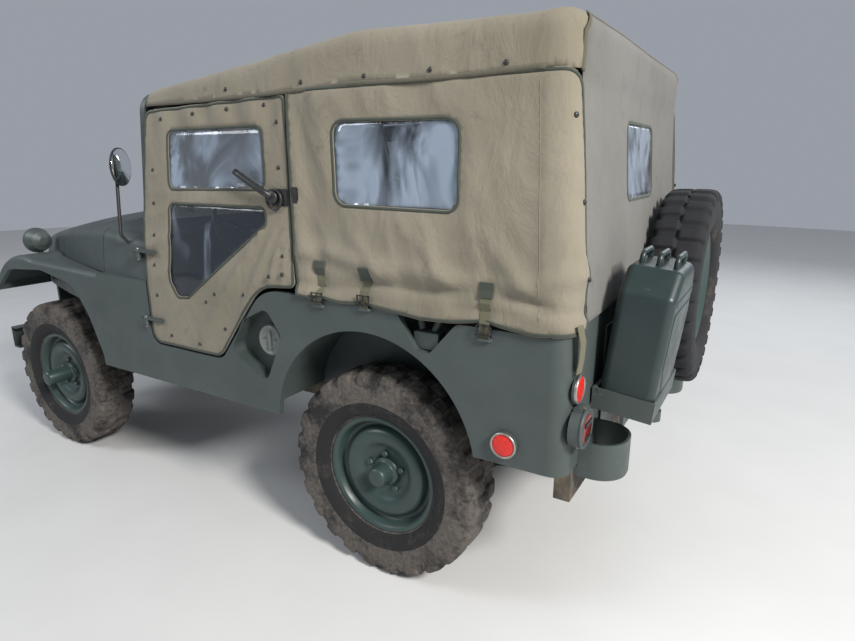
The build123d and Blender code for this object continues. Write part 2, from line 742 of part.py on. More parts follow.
def rear_panel():
    """Rear body panel that wraps round both corners, with a rolled top rail."""
    def plan(inset):
        half = BODY_HALF - inset
        corners = [
            (REAR_SPLIT_X, half),
            (REAR_FACE_X + inset, half),
            (REAR_FACE_X + inset, -half),
            (REAR_SPLIT_X, -half),
        ]
        return outline(corners, [0, REAR_CORNER_R - inset - 0.1, REAR_CORNER_R - inset - 0.1, 0])

    skin = plan(0.0) - plan(SHEET)
    skin = skin - Pos(REAR_SPLIT_X, 0) * Rectangle(0.2, 2.0 * (BODY_HALF - SHEET))
    panel = plan_prism(skin, FLOOR_Z, REAR_RAIL_Z)
    lip = plan(0.0) - plan(FLANGE)
    panel += plan_prism(lip, REAR_RAIL_Z - SHEET, REAR_RAIL_Z)
    panel += plan_prism(lip, FLOOR_Z, FLOOR_Z + SHEET)
    # Pressed field in the middle of the panel, set back by one sheet.
    field = block(REAR_FACE_X - 6.0, REAR_FACE_X + 1.0, -430.0, 430.0, FLOOR_Z + 45.0, REAR_RAIL_Z - 60.0)
    field -= block(REAR_FACE_X - 7.0, REAR_FACE_X - 3.0, -400.0, 400.0, FLOOR_Z + 75.0, REAR_RAIL_Z - 90.0)
    return panel + field


def floor_pan():
    """Floor sheet, sloping toe board and the two rear wheel housings."""
    edge = BODY_HALF - SHEET - SEAT_GAP
    rear = REAR_FACE_X + SHEET + SEAT_GAP
    toe_x, toe_z = 500.0, 740.0
    toe_front = SEAM_X - HOOD_GAP - SHEET - SEAT_GAP
    base = FLOOR_BASE_Z
    corner_r = REAR_CORNER_R - SHEET
    sheet_face = outline([(toe_x, edge), (rear, edge), (rear, -edge), (toe_x, -edge)], [0, corner_r, corner_r, 0])
    pan = plan_prism(sheet_face, base, base + FLOOR_T)
    toe = outline([
        (toe_x - 1.0, base),
        (toe_x, base),
        (toe_front, toe_z),
        (toe_front, toe_z + FLOOR_T),
        (toe_x - 1.0, base + FLOOR_T),
    ])
    pan += side_prism(toe, -edge, edge)
    outer_r = ARCH_R + WHEELHOUSE_GAP + FLOOR_T
    above = Pos(REAR_AXLE_X, base + 500.0) * Rectangle(2000.0, 1000.0)
    dome = (Pos(REAR_AXLE_X, ARCH_Z) * Circle(outer_r)) & above
    below = Pos(REAR_AXLE_X, base + 460.0) * Rectangle(2000.0, 1000.0)
    cave = (Pos(REAR_AXLE_X, ARCH_Z) * Circle(outer_r - FLOOR_T)) & below
    for side in (1, -1):
        y0, y1 = sorted((side * WHEELHOUSE_INNER_Y, side * edge))
        shift = side * FLOOR_T
        pan += side_prism(dome, y0, y1)
        pan -= side_prism(cave, *sorted((side * WHEELHOUSE_INNER_Y + shift, side * (BODY_HALF + 5.0))))
    for side in (1, -1):
        y0, y1 = sorted((side * (BODY_HALF - FLANGE - 1.0), side * BODY_HALF))
        pan -= block(REAR_SPLIT_X - 1.0, REAR_SPLIT_X + SHEET + 1.0, y0, y1, base - 1.0, base + 5.0)
    pan -= block(COLUMN_HOLE_X - 60.0, COLUMN_HOLE_X + 60.0, COLUMN_Y - 30.0, COLUMN_Y + 30.0, base + 5.0, toe_z + 20.0)
    return pan


SLOPE = math.radians(COLUMN_SLOPE)
COLUMN_HOLE_X = SEAM_X - 60.0


# Front of the body

def nose_section(x, base_half, base_z, side_half, side_z, crown_z, corner_r, inset):
    """Arched section of the hood or cowl: leaning sides, rounded shoulders and a crowned top."""
    base_y = base_half - inset
    side_y = side_half - inset
    shoulder = side_z - inset
    floor = base_z - inset
    sides = Polyline((side_y, shoulder), (base_y, floor), (-base_y, floor), (-side_y, shoulder))
    crown = ThreePointArc((-side_y, shoulder), (0, crown_z - inset), (side_y, shoulder))
    face = make_face([*sides.edges(), *crown.edges()])
    tops = [corner for corner in face.vertices() if abs(corner.Y - shoulder) < 0.01]
    face = fillet(tops, corner_r - inset)
    return across_plane(x) * face


# base half-width, base Z, side half-width, side Z, crown Z and shoulder radius of each section
COWL_REAR = (BODY_HALF - 4.0, SHELF_Z, BODY_HALF - 16.0, COWL_REAR_Z - 6.0, COWL_REAR_Z + 4.0, 42.0)
HOOD_REAR = (BODY_HALF - 40.0, SHELF_Z, BODY_HALF - 62.0, 1176.0, 1250.0, 55.0)
HOOD_MIDDLE = (BODY_HALF - 175.0, SHELF_Z + 4.0, BODY_HALF - 200.0, 1130.0, 1196.0, 52.0)
HOOD_NOSE = (BODY_HALF - 290.0, SHELF_Z - 8.0, BODY_HALF - 320.0, 1070.0, 1118.0, 48.0)
HOOD_MIDDLE_X = 1210.0


def hood_shell():
    """Hood skin with leaning sides, lofted through three arched sections."""
    stations = (
        (SEAM_X + HOOD_GAP, HOOD_REAR),
        (HOOD_MIDDLE_X, HOOD_MIDDLE),
        (HOOD_FRONT_X, HOOD_NOSE),
    )
    outer = loft([nose_section(x, *row, 0.0) for x, row in stations])
    inner_rows = list(stations)
    inner_rows[0] = (SEAM_X + HOOD_GAP - 0.5, HOOD_REAR)
    inner_rows[-1] = (HOOD_FRONT_X + 0.5, HOOD_NOSE)
    inner = loft([nose_section(x, *row, HOOD_SHEET) for x, row in inner_rows])
    inner_low = Pos(0, 0, -8.0) * inner
    return outer - inner - inner_low


def hood():
    """Hood with its two hinge straps and pins at the cowl."""
    lid = hood_shell()
    for y in HOOD_HINGE_Y:
        crown = hood_crown_z(y)
        strap = block(HOOD_HINGE_X + 4.0, HOOD_HINGE_X + 90.0, y - 20.0, y + 20.0, crown - 14.0, crown + 3.0)
        lid += strap
        barrel = rod((HOOD_HINGE_X, y - 20.0, HOOD_HINGE_Z), (HOOD_HINGE_X, y + 20.0, HOOD_HINGE_Z), HOOD_HINGE_R)
        web = block(HOOD_HINGE_X, HOOD_HINGE_X + 30.0, y - 20.0, y + 20.0, crown, HOOD_HINGE_Z + 3.0)
        lid += barrel + web
        lid += rod((HOOD_HINGE_X, y - 44.0, HOOD_HINGE_Z), (HOOD_HINGE_X, y + 44.0, HOOD_HINGE_Z), HOOD_PIN_R)
    return lid


def hood_crown_z(y):
    """Height of the hood's rear crown at a distance from the middle."""
    half, rise = HOOD_REAR[2], HOOD_REAR[4] - HOOD_REAR[3]
    radius = (half * half + rise * rise) / (2.0 * rise)
    return HOOD_REAR[4] - radius + math.sqrt(radius * radius - y * y)


def cowl():
    """Cowl top with its posts, firewall, instrument panel and the hood hinge eyes."""
    outer = loft([
        nose_section(DOOR_FRONT_X, *COWL_REAR, 0.0),
        nose_section(SEAM_X, *HOOD_REAR, 0.0),
    ])
    inner = loft([
        nose_section(DOOR_FRONT_X - 0.5, *COWL_REAR, SHEET),
        nose_section(SEAM_X + 0.5, *HOOD_REAR, SHEET),
    ])
    part = outer - inner - Pos(0, 0, -10.0) * inner
    head = nose_section(SEAM_X - SHEET, *HOOD_REAR, 1.0)
    part += extrude(head, amount=SHEET - 0.5, dir=(1, 0, 0))
    wall_half = BODY_HALF - 60.0
    firewall = block(SEAM_X - HOOD_GAP - SHEET, SEAM_X - HOOD_GAP, -wall_half, wall_half, FLOOR_Z + 10.0, SHELF_Z + 2.0)
    part += firewall + block(SEAM_X - HOOD_GAP - SHEET, SEAM_X - 1.0, -wall_half, wall_half, SHELF_Z - 3.0, SHELF_Z + 2.0)
    dash = block(DOOR_FRONT_X + 26.0, DOOR_FRONT_X + 30.0, -COWL_REAR[2], COWL_REAR[2], SHELF_Z + 3.0, COWL_REAR_Z - 20.0)
    part += dash & outer
    part += rod((DOOR_FRONT_X + 12.0, 60.0, 1075.0), (DOOR_FRONT_X + 28.0, 60.0, 1075.0), 52.0)
    shelf = outline([
        (DOOR_FRONT_X, COWL_REAR[0] - 2.0),
        (SEAM_X, HOOD_REAR[0] - 2.0),
        (SEAM_X, BODY_HALF),
        (DOOR_FRONT_X, BODY_HALF),
    ])
    ledge = plan_prism(shelf, SHELF_Z, SHELF_Z + 2.0)
    part += ledge
    part += other_side(ledge)
    part -= rod(column_point(280.0), column_point(820.0), COLUMN_R + MOVING_GAP)
    eye = hinge_eye(HINGE_Z[1], COWL_REAR[2])
    part += eye
    part += other_side(eye)
    for y in HOOD_HINGE_Y:
        for edge in (y - 44.0, y + 26.0):
            base = hood_crown_z(y) - 12.0
            post = block(HOOD_HINGE_X - 62.0, HOOD_HINGE_X, edge, edge + 18.0, base, HOOD_HINGE_Z + 3.0)
            post -= block(HOOD_HINGE_X - 2.0, HOOD_HINGE_X + 20.0, edge - 1.0, edge + 19.0, base - 1.0, base + 13.0)
            post += rod((HOOD_HINGE_X, edge, HOOD_HINGE_Z), (HOOD_HINGE_X, edge + 18.0, HOOD_HINGE_Z), HOOD_HINGE_R)
            bore = rod((HOOD_HINGE_X, edge - 1.0, HOOD_HINGE_Z), (HOOD_HINGE_X, edge + 19.0, HOOD_HINGE_Z),
                       HOOD_PIN_R + HOOD_PIN_FIT)
            part += post
            part -= bore
    return part


def fender_top():
    """Side line of the fender's top, from the body seam over the wheel and down at the nose."""
    return Polyline((SEAM_X + SEAT_GAP, SHELF_Z), (1199.0, 1004.0)), ThreePointArc(
        (1199.0, 1004.0), (FENDER_FRONT_X - 124.0, 968.0), (FENDER_FRONT_X, FENDER_NOSE_Z))


def fender_face(drop):
    """Solid side shape under the fender's top line, lowered by a distance."""
    runs, nose = fender_top()
    closing = Polyline((FENDER_FRONT_X, FENDER_NOSE_Z), (FENDER_FRONT_X, SILL_Z),
                       (SEAM_X + SEAT_GAP, SILL_Z), (SEAM_X + SEAT_GAP, SHELF_Z))
    face = make_face([*runs.edges(), *nose.edges(), *closing.edges()])
    if drop == 0.0:
        return face
    return offset(face, amount=-drop, kind=Kind.INTERSECTION)


def fender_arch():
    """Open space over the front wheel, below the fender's lip."""
    corners = [
        (656.0, 500.0),
        (660.0, 600.0),
        (738.0, 780.0),
        (838.0, 915.0),
        (1112.0, 962.0),
        (FENDER_FRONT_X - 174.0, 940.0),
        (FENDER_FRONT_X - 38.0, FENDER_NOSE_Z - 12.0),
        (FENDER_FRONT_X + 60.0, FENDER_NOSE_Z - 90.0),
        (FENDER_FRONT_X + 60.0, 500.0),
    ]
    return outline(corners, [0, 60.0, 120.0, 130.0, 200.0, 120.0, 10.0, 0, 0])


def hood_edge_plan(gap):
    """Plan of what lies inside the hood's foot, widened by a gap."""
    rear_x = SEAM_X + HOOD_GAP
    left = ThreePointArc(
        (rear_x, HOOD_REAR[0] + gap),
        (HOOD_MIDDLE_X, HOOD_MIDDLE[0] + gap),
        (HOOD_FRONT_X, HOOD_NOSE[0] + gap),
    )
    front_x = FENDER_FRONT_X + 10.0
    nose = Polyline((HOOD_FRONT_X, HOOD_NOSE[0] + gap), (front_x, HOOD_NOSE[0] + gap - 3.0),
                    (front_x, 0), (rear_x - 20.0, 0), (rear_x - 20.0, HOOD_REAR[0] + gap + 4.0),
                    (rear_x, HOOD_REAR[0] + gap))
    return make_face([*left.edges(), *nose.edges()])


def front_fenders():
    """Left and right fenders: top, skirt with a lip round the wheel opening, and inner apron."""
    inner_y = HOOD_NOSE[0] - 60.0
    side = side_prism(fender_face(0.0), inner_y, BODY_HALF)
    top_edges = side.edges().filter_by(lambda e: abs(e.center().Y - BODY_HALF) < 0.01 and e.center().Z > 900.0)
    side = fillet(top_edges, FENDER_EDGE_R)
    core = side_prism(fender_face(SHEET), inner_y - 1.0, BODY_HALF - SHEET)
    core_edges = core.edges().filter_by(
        lambda e: abs(e.center().Y - BODY_HALF + SHEET) < 0.01 and e.center().Z > 900.0)
    core = fillet(core_edges, FENDER_EDGE_R - SHEET)
    arch = fender_arch()
    lip_band = offset(arch, amount=FLANGE) - arch
    shell = side - core
    skirt_cut = side_prism(arch, inner_y - 2.0, BODY_HALF + 1.0)
    lip = side_prism(lip_band, BODY_HALF - FLANGE, BODY_HALF - 1.0) & side
    shell = shell - skirt_cut
    thin_lip = side_prism(offset(arch, amount=SHEET) - arch, BODY_HALF - FLANGE, BODY_HALF - 1.0)
    shell = shell + (thin_lip & lip)
    edge_in = plan_prism(hood_edge_plan(MOVING_GAP), 500.0, 1100.0)
    apron = plan_prism(hood_edge_plan(MOVING_GAP + SHEET), 810.0, 1010.0) - edge_in
    apron = apron & block(SEAM_X + SEAT_GAP, GRILLE_X - 2.0, HOOD_NOSE[0], BODY_HALF, 810.0, 1010.0)
    apron = apron & side
    shell = shell - edge_in
    shell = shell + apron
    keep = max(shell.solids(), key=lambda solid: solid.volume)
    return both_sides(keep)


def grille_panel():
    """Front panel with upright slots and two round lamp openings."""
    inset = HOOD_SHEET + MOVING_GAP
    row = (HOOD_NOSE[0], HOOD_NOSE[1]) + HOOD_NOSE[2:]
    upper = extrude(nose_section(GRILLE_X, *row, inset), amount=GRILLE_DEPTH, dir=(1, 0, 0))
    half = HOOD_NOSE[0] - inset
    lower = block(GRILLE_X, GRILLE_X + GRILLE_DEPTH, -half, half, FLOOR_Z, HOOD_NOSE[1] - 5.0)
    panel = upper + lower
    pocket = extrude(nose_section(GRILLE_X - 1.0, *row, inset + HOOD_SHEET), amount=GRILLE_DEPTH + 1.0 - HOOD_SHEET,
                     dir=(1, 0, 0))
    edge = half - HOOD_SHEET
    pocket += block(GRILLE_X - 1.0, GRILLE_X + GRILLE_DEPTH - HOOD_SHEET, -edge, edge,
                    FLOOR_Z + HOOD_SHEET, HOOD_NOSE[1] - 5.0)
    panel -= pocket
    slot = Rectangle(SLOT_W, 330.0)
    slot = fillet(slot.vertices(), SLOT_W / 2.0 - 0.5)
    first = -SLOT_PITCH * (SLOT_COUNT - 1) / 2.0
    for index in range(SLOT_COUNT):
        panel -= cross_prism(Pos(first + index * SLOT_PITCH, 875.0) * slot, GRILLE_X - 5.0, GRILLE_X + 30.0)
    for side in (1, -1):
        panel -= rod((GRILLE_X - 5.0, side * LAMP_Y, LAMP_Z), (GRILLE_X + 30.0, side * LAMP_Y, LAMP_Z), LAMP_R + SEAT_GAP)
    return panel


def head_lamps():
    """Two headlamps in the grille and the guarded lamp on the left fender."""
    # distance forward of the panel's back, radius
    bowl = [(-70.0, 30.0), (-55.0, 60.0), (0.0, LAMP_R - 6.0), (0.0, LAMP_R), (GRILLE_DEPTH + 10.0, LAMP_R),
            (GRILLE_DEPTH + 10.0, LAMP_R - 10.0), (GRILLE_DEPTH + 22.0, 30.0)]
    corners = [(0.0, bowl[0][0])] + [(r, a) for a, r in bowl] + [(0.0, bowl[-1][0])]
    shape = revolve(Plane.XZ * outline(corners), axis=Axis.Z)
    lamps = [Pos(GRILLE_X, side * LAMP_Y, LAMP_Z) * Rot(0, 90, 0) * shape for side in (1, -1)]
    drive = [(-60.0, 20.0), (-45.0, 50.0), (0.0, 66.0), (20.0, 66.0), (30.0, 40.0)]
    corners = [(0.0, drive[0][0])] + [(r, a) for a, r in drive] + [(0.0, drive[-1][0])]
    shape = revolve(Plane.XZ * outline(corners), axis=Axis.Z)
    marker_x, marker_y, marker_z = 1440.0, BODY_HALF - 170.0, 1068.0
    marker = Pos(marker_x, marker_y, marker_z) * Rot(0, 90, 0) * shape
    marker += rod((marker_x - 10.0, marker_y, 972.0), (marker_x - 10.0, marker_y, marker_z - 50.0), 12.0)
    foot = marker & side_prism(fender_face(0.0), 0.0, BODY_HALF)
    marker -= foot
    return lamps + [marker]


def front_bumper():
    """Channel bumper open to the rear."""
    bar = block(BUMPER_REAR_X, BUMPER_FRONT_X, -BUMPER_HALF, BUMPER_HALF, BUMPER_BOTTOM_Z, BUMPER_TOP_Z)
    bar -= block(BUMPER_REAR_X - 1.0, BUMPER_FRONT_X - 6.0, -BUMPER_HALF - 1.0, BUMPER_HALF + 1.0,
                 BUMPER_BOTTOM_Z + 6.0, BUMPER_TOP_Z - 6.0)
    for y in (-340.0, 340.0):
        bar += block(BUMPER_REAR_X, BUMPER_FRONT_X - 5.0, y - 30.0, y + 30.0, BUMPER_BOTTOM_Z + 1.0, BUMPER_TOP_Z - 1.0)
    return bar


# Doors and windshield

def leaning_wall(outer_shift, thickness):
    """Cross-section of the canvas side: upright below the foot line, leaning in above it."""
    foot_y = DOOR_OUTER_Y + outer_shift
    top_y = CANVAS_TOP_Y + outer_shift
    return outline([
        (foot_y, 640.0),
        (foot_y, CANVAS_FOOT_Z),
        (top_y, CANVAS_TOP_Z),
        (top_y - thickness, CANVAS_TOP_Z),
        (foot_y - thickness, CANVAS_FOOT_Z),
        (foot_y - thickness, 640.0),
    ])


def door_outline():
    """Side outline of the left door, one running gap inside the body opening."""
    gap = MOVING_GAP
    corners = [
        (DOOR_FRONT_X - gap, DOOR_SILL_Z + gap),
        (DOOR_FOOT_X + 4.0, DOOR_SILL_Z + gap),
        (DOOR_SLOPE_TOP_X + 4.0, RAIL_SIDE_Z + 12.0 + gap),
        (DOOR_REAR_X, CANVAS_FOOT_Z + 12.0),
        (DOOR_TOP_REAR_X, DOOR_TOP_REAR_Z),
        (DOOR_TOP_FRONT_X, DOOR_TOP_FRONT_Z),
        (DOOR_FRONT_X - gap, 1165.0),
    ]
    return outline(corners, [54.0, 76.0, 150.0, 25.0, 25.0, 40.0, 0])


def door_windows():
    """Outlines of the two clear panes in a door."""
    upper = outline([(79.0, 1580.0), (-410.0, 1580.0), (-428.0, 1378.0), (82.0, 1370.0)], 28.0)
    lower = outline([(83.0, 1309.0), (-428.0, 1309.0), (-433.0, 1259.0), (-5.0, 956.0), (65.0, 947.0), (99.0, 1005.0)],
                    [28.0, 28.0, 24.0, 30.0, 22.0, 30.0])
    return upper, lower


def door(side):
    """Soft door on its bent frame, with window openings, hinge arms and pins."""
    wall = cross_prism(leaning_wall(0.0, DOOR_T), -700.0, 400.0)
    panel = side_prism(door_outline(), CUT_INNER_Y, CUT_OUTER_Y) & wall
    for pane in door_windows():
        panel -= side_prism(pane, CUT_INNER_Y, CUT_OUTER_Y)
    for z in HINGE_Z:
        base = z + HINGE_EYE_H + SEAT_GAP
        edge = DOOR_FRONT_X - MOVING_GAP - 1.0
        arm = block(170.0, edge, DOOR_OUTER_Y - 10.0, HINGE_Y + 4.0, base, base + 14.0)
        arm += block(edge - 1.0, HINGE_X, HINGE_Y - 6.0, HINGE_Y + 4.0, base, base + 14.0)
        arm += rod((HINGE_X, HINGE_Y, base), (HINGE_X, HINGE_Y, base + 14.0), HINGE_EYE_R)
        arm += rod((HINGE_X, HINGE_Y, z - 6.0), (HINGE_X, HINGE_Y, base + 1.0), HINGE_PIN_R)
        panel += arm
    return panel if side > 0 else other_side(panel)


def door_panes(side):
    """Clear panes held in the door's openings."""
    middle = (DOOR_T - WINDOW_T) / 2.0
    wall = cross_prism(leaning_wall(-middle, WINDOW_T), -700.0, 400.0)
    panes = []
    for pane in door_windows():
        fit = offset(pane, amount=-SEAT_GAP)
        pane_solid = side_prism(fit, CUT_INNER_Y, CUT_OUTER_Y) & wall
        panes.append(pane_solid if side > 0 else other_side(pane_solid))
    return panes


def shield_frame_local():
    """Windshield frame drawn upright: outer half-width, height and bar width are set apart."""
    outer = Pos(0, SHIELD_H / 2.0) * Rectangle(2.0 * SHIELD_HALF, SHIELD_H)
    outer = fillet(outer.vertices().sort_by(Axis.Y)[-2:], SHIELD_CORNER_R)
    hole_h = SHIELD_H - 2.6 * SHIELD_BAR
    hole = Pos(0, 1.6 * SHIELD_BAR + hole_h / 2.0) * Rectangle(2.0 * (SHIELD_HALF - SHIELD_BAR), hole_h)
    hole = fillet(hole.vertices(), 30.0)
    return outer, hole


def shield_place():
    """Plane of the leaning windshield, X across the car and Y up the frame."""
    lean = math.radians(SHIELD_LEAN)
    up = Vector(-math.sin(lean), 0, math.cos(lean))
    across = Vector(0, 1, 0)
    return Plane(origin=(SHIELD_FOOT_X, 0, SHIELD_FOOT_Z), x_dir=across, z_dir=across.cross(up))


def windshield_frame():
    """Windshield frame leaning back on two feet."""
    outer, hole = shield_frame_local()
    place = shield_place()
    frame = extrude(place * (outer - hole), amount=SHIELD_T / 2.0, both=True)
    for y in (-520.0, 520.0):
        frame += block(SHIELD_FOOT_X - 20.0, SHIELD_FOOT_X + 30.0, y - 25.0, y + 25.0, COWL_REAR_Z + 1.0, SHIELD_FOOT_Z + 20.0)
    cowl_solid = loft([
        nose_section(DOOR_FRONT_X, *COWL_REAR, -SEAT_GAP),
        nose_section(SEAM_X, *HOOD_REAR, -SEAT_GAP),
    ])
    return frame - cowl_solid


def windshield_glass():
    """Windshield pane in its frame."""
    _, hole = shield_frame_local()
    pane = offset(hole, amount=-SEAT_GAP)
    return extrude(shield_place() * pane, amount=3.0, both=True)


# Canvas top

def tent_block(grow):
    """Solid under the canvas sides, leaning in towards the roof, with rounded rear corners."""
    def plan(z, rear_x, half):
        corners = [
            (CURTAIN_TOP_X + 10.0, half + grow),
            (rear_x - grow, half + grow),
            (rear_x - grow, -half - grow),
            (CURTAIN_TOP_X + 10.0, -half - grow),
        ]
        radius = CANVAS_CORNER_R + grow
        return Pos(0, 0, z) * outline(corners, [0, radius, radius, 0])

    return loft([
        plan(CANVAS_FOOT_Z, CANVAS_FOOT_X, CANVAS_FOOT_Y),
        plan(CANVAS_TOP_Z, CANVAS_TOP_X, CANVAS_TOP_Y),
    ], ruled=True)


def curtain_window():
    """Outline of the side curtain's clear pane."""
    return outline([(-729.0, 1584.0), (-1174.0, 1576.0), (-1186.0, 1330.0), (-748.0, 1336.0)], 45.0)


def rear_window():
    """Outline of the rear curtain's clear pane."""
    return fillet((Pos(0, 1462.0) * Rectangle(380.0, 235.0)).vertices(), 32.0)


def tent_wall(thickness, shift):
    """Thin wall of the canvas sides, a distance inside the outer face."""
    return tent_block(-shift) - tent_block(-shift - thickness)


def side_curtains():
    """Left and right canvas side curtains, wrapped round the rear corners."""
    wall = tent_wall(CANVAS, 0.0)
    rear = REAR_FACE_X - 150.0
    side = outline([
        (CURTAIN_FRONT_X, CANVAS_FOOT_Z),
        (CURTAIN_TOP_X, CANVAS_TOP_Z),
        (rear, CANVAS_TOP_Z),
        (rear, CANVAS_FOOT_Z),
    ])
    left = wall & side_prism(side, FLAP_Y, CUT_OUTER_Y)
    left = left - side_prism(curtain_window(), CUT_INNER_Y, CUT_OUTER_Y)
    return both_sides(left)


def rear_curtain():
    """Canvas rear curtain between the side flaps."""
    wall = tent_wall(CANVAS, 0.0)
    reach = FLAP_Y - SEAT_GAP
    back = wall & block(REAR_FACE_X - 150.0, REAR_FACE_X + 140.0, -reach, reach, CANVAS_FOOT_Z, CANVAS_TOP_Z)
    return back - cross_prism(rear_window(), REAR_FACE_X - 150.0, REAR_FACE_X + 140.0)


def curtain_windows():
    """Clear panes in the side curtains and the rear curtain."""
    thin = tent_wall(WINDOW_T, (CANVAS - WINDOW_T) / 2.0)
    pane = side_prism(offset(curtain_window(), amount=-SEAT_GAP), CUT_INNER_Y, CUT_OUTER_Y)
    left = thin & pane
    back = thin & cross_prism(offset(rear_window(), amount=-SEAT_GAP), REAR_FACE_X - 150.0, REAR_FACE_X + 140.0)
    return both_sides(left) + [back]


def roof_section(x, top_z, hem_z, inset):
    """Section of the roof canvas: flat top, rounded shoulders and short hanging sides."""
    hem = ROOF_HEM_Y - inset
    shoulder = ROOF_SHOULDER_Y - inset
    top = top_z - inset
    face = outline([(hem, hem_z), (shoulder, top), (-shoulder, top), (-hem, hem_z)], [0, 50.0 - inset, 50.0 - inset, 0])
    return across_plane(x) * face


# X, top Z and hem Z of the roof's sections
ROOF_STATIONS = (
    (ROOF_FRONT_X, ROOF_FRONT_Z, ROOF_HEM_Z - 2.0),
    (ROOF_BOW_X, ROOF_BOW_Z, ROOF_HEM_Z),
    (ROOF_REAR_X, ROOF_REAR_Z, ROOF_HEM_Z),
)


def roof_solid(inset):
    """Solid under the roof canvas, in two straight lofts that meet at the middle bow."""
    sections = []
    for index, (x, top, hem) in enumerate(ROOF_STATIONS):
        sections.append(roof_section(x, top, hem - (5.0 if inset else 0.0), inset))
    front = loft(sections[:2], ruled=True)
    rear = loft(sections[1:], ruled=True)
    return front + rear


def roof_canvas():
    """Canvas roof from the windshield over the bows to the rear, closed at its ends by short drops."""
    shell = roof_solid(0.0) - roof_solid(CANVAS)
    rear_skin = roof_section(ROOF_REAR_X, ROOF_REAR_Z, ROOF_HEM_Z, 0.0)
    rear_skin = extrude(rear_skin, amount=CANVAS, dir=(-1, 0, 0))
    front_skin = extrude(roof_section(ROOF_FRONT_X, ROOF_FRONT_Z, ROOF_HEM_Z + 18.0, 0.0), amount=CANVAS, dir=(1, 0, 0))
    return shell + rear_skin + front_skin


def top_bows():
    """Two bent tubes that carry the canvas, on sockets inside the body sides."""
    pieces = []
    # X of the bow's top, canvas height there
    for top_x, canvas_z in ((ROOF_BOW_X, ROOF_BOW_Z), (ROOF_REAR_X + 32.0, ROOF_REAR_Z)):
        top_z = canvas_z - CANVAS - BOW_R - SEAT_GAP - 0.1
        half = ROOF_SHOULDER_Y - CANVAS - BOW_R - 14.0
        foot_x = BOW_FOOT_X + (22.0 if top_x > BOW_FOOT_X else -22.0)
        points = [
            (foot_x, BOW_FOOT_Y, BOW_FOOT_Z),
            (top_x, half, top_z),
            (top_x, -half, top_z),
            (foot_x, -BOW_FOOT_Y, BOW_FOOT_Z),
        ]
        pieces.append(bent_rod(points, BOW_R, BOW_BEND_R))
    for side in (1, -1):
        y0, y1 = sorted((side * (BODY_HALF - FLANGE - SEAT_GAP), side * (BOW_FOOT_Y - 20.0)))
        pieces.append(block(BOW_FOOT_X - 45.0, BOW_FOOT_X + 40.0, y0, y1, BOW_FOOT_Z - 56.0, BOW_FOOT_Z - 3.0))
    return pieces


# Controls, seats and running gear blocks

def column_point(distance):
    """Point on the steering column's line, at a distance down from the wheel's hub."""
    return (
        WHEEL_HUB_X + distance * math.cos(SLOPE),
        COLUMN_Y,
        WHEEL_HUB_Z - distance * math.sin(SLOPE),
    )


def steering_column():
    """Column tube from below the steering wheel to the steering box on the frame rail."""
    tube_part = tube(column_point(60.0), column_point(870.0), COLUMN_R, SHAFT_R + SHAFT_FIT)
    x, _, z = column_point(905.0)
    box = block(x - 55.0, x + 45.0, COLUMN_Y - 32.0, COLUMN_Y + 20.0, RAIL_TOP_Z, z + 30.0)
    bore = rod(column_point(700.0), column_point(900.0), SHAFT_R + SHAFT_FIT)
    return tube_part + (box - bore)


def steering_wheel():
    """Steering wheel with three spokes on its shaft."""
    ring = Torus(WHEEL_RING_R, WHEEL_GRIP_R)
    hub = Pos(0, 0, -12.0) * Cylinder(30.0, 30.0)
    wheel = ring + hub
    for angle in (60.0, 180.0, 300.0):
        reach = WHEEL_RING_R - WHEEL_GRIP_R / 2.0
        tip = (math.cos(math.radians(angle)) * reach, math.sin(math.radians(angle)) * reach, -1.0)
        wheel += rod((0, 0, -14.0), tip, 6.0)
    wheel += rod((0, 0, -10.0), (0, 0, -880.0), SHAFT_R)
    place = Pos(WHEEL_HUB_X, COLUMN_Y, WHEEL_HUB_Z) * Rot(0, -(90.0 - COLUMN_SLOPE), 0)
    return place * wheel


def pad(x0, x1, y0, y1, z0, z1, radius):
    """Cushion with rounded edges."""
    shape = block(x0, x1, y0, y1, z0, z1)
    return fillet(shape.edges(), radius)


def seat_frames():
    """Bent tube frames under the two front seats and the rear bench."""
    pieces = []
    base = FLOOR_Z + SHEET + SEAT_GAP + FLOOR_T
    rear_x = SEAT_FRONT_X - SEAT_DEPTH
    under = SEAT_TOP_Z - SEAT_PAD - SEAT_TUBE_R - SEAT_GAP
    for y in SEAT_CENTRES_Y:
        half = SEAT_W / 2.0 - SEAT_TUBE_R
        frame = None
        for edge in (y - half, y + half):
            points = [
                (SEAT_FRONT_X - 30.0, edge, base),
                (SEAT_FRONT_X - 30.0, edge, under),
                (rear_x - 31.5, edge, under),
                (rear_x - 86.0, edge, 1235.0),
            ]
            side_tube = bent_rod(points, SEAT_TUBE_R, 40.0)
            leg = rod((rear_x + 40.0, edge, base), (rear_x + 40.0, edge, under), SEAT_TUBE_R)
            side_tube += leg
            frame = side_tube if frame is None else frame + side_tube
        for x, z in ((SEAT_FRONT_X - 80.0, under), (rear_x + 40.0, under), (rear_x - 81.7, 1200.0)):
            frame += rod((x, y - half, z), (x, y + half, z), SEAT_TUBE_R)
        pieces.append(frame)
    bench = None
    for y in (-BENCH_HALF + 30.0, BENCH_HALF - 30.0):
        for x in (-1110.0, -1390.0):
            leg = rod((x, y, base), (x, y, BENCH_TOP_Z - SEAT_PAD - 2.0 * SEAT_GAP - 20.0), SEAT_TUBE_R)
            bench = leg if bench is None else bench + leg
    top = BENCH_TOP_Z - SEAT_PAD - SEAT_GAP
    bench += block(-1420.0, -1085.0, -BENCH_HALF, BENCH_HALF, top - 22.0, top)
    for y in (-BENCH_HALF + 80.0, BENCH_HALF - 80.0):
        bench += rod((BENCH_POST_X, y, base), (BENCH_POST_X, y, 1150.0), SEAT_TUBE_R)
        bench += rod((BENCH_POST_X, y, top - 11.0), (-1400.0, y, top - 11.0), 10.0)
    return pieces + [bench]


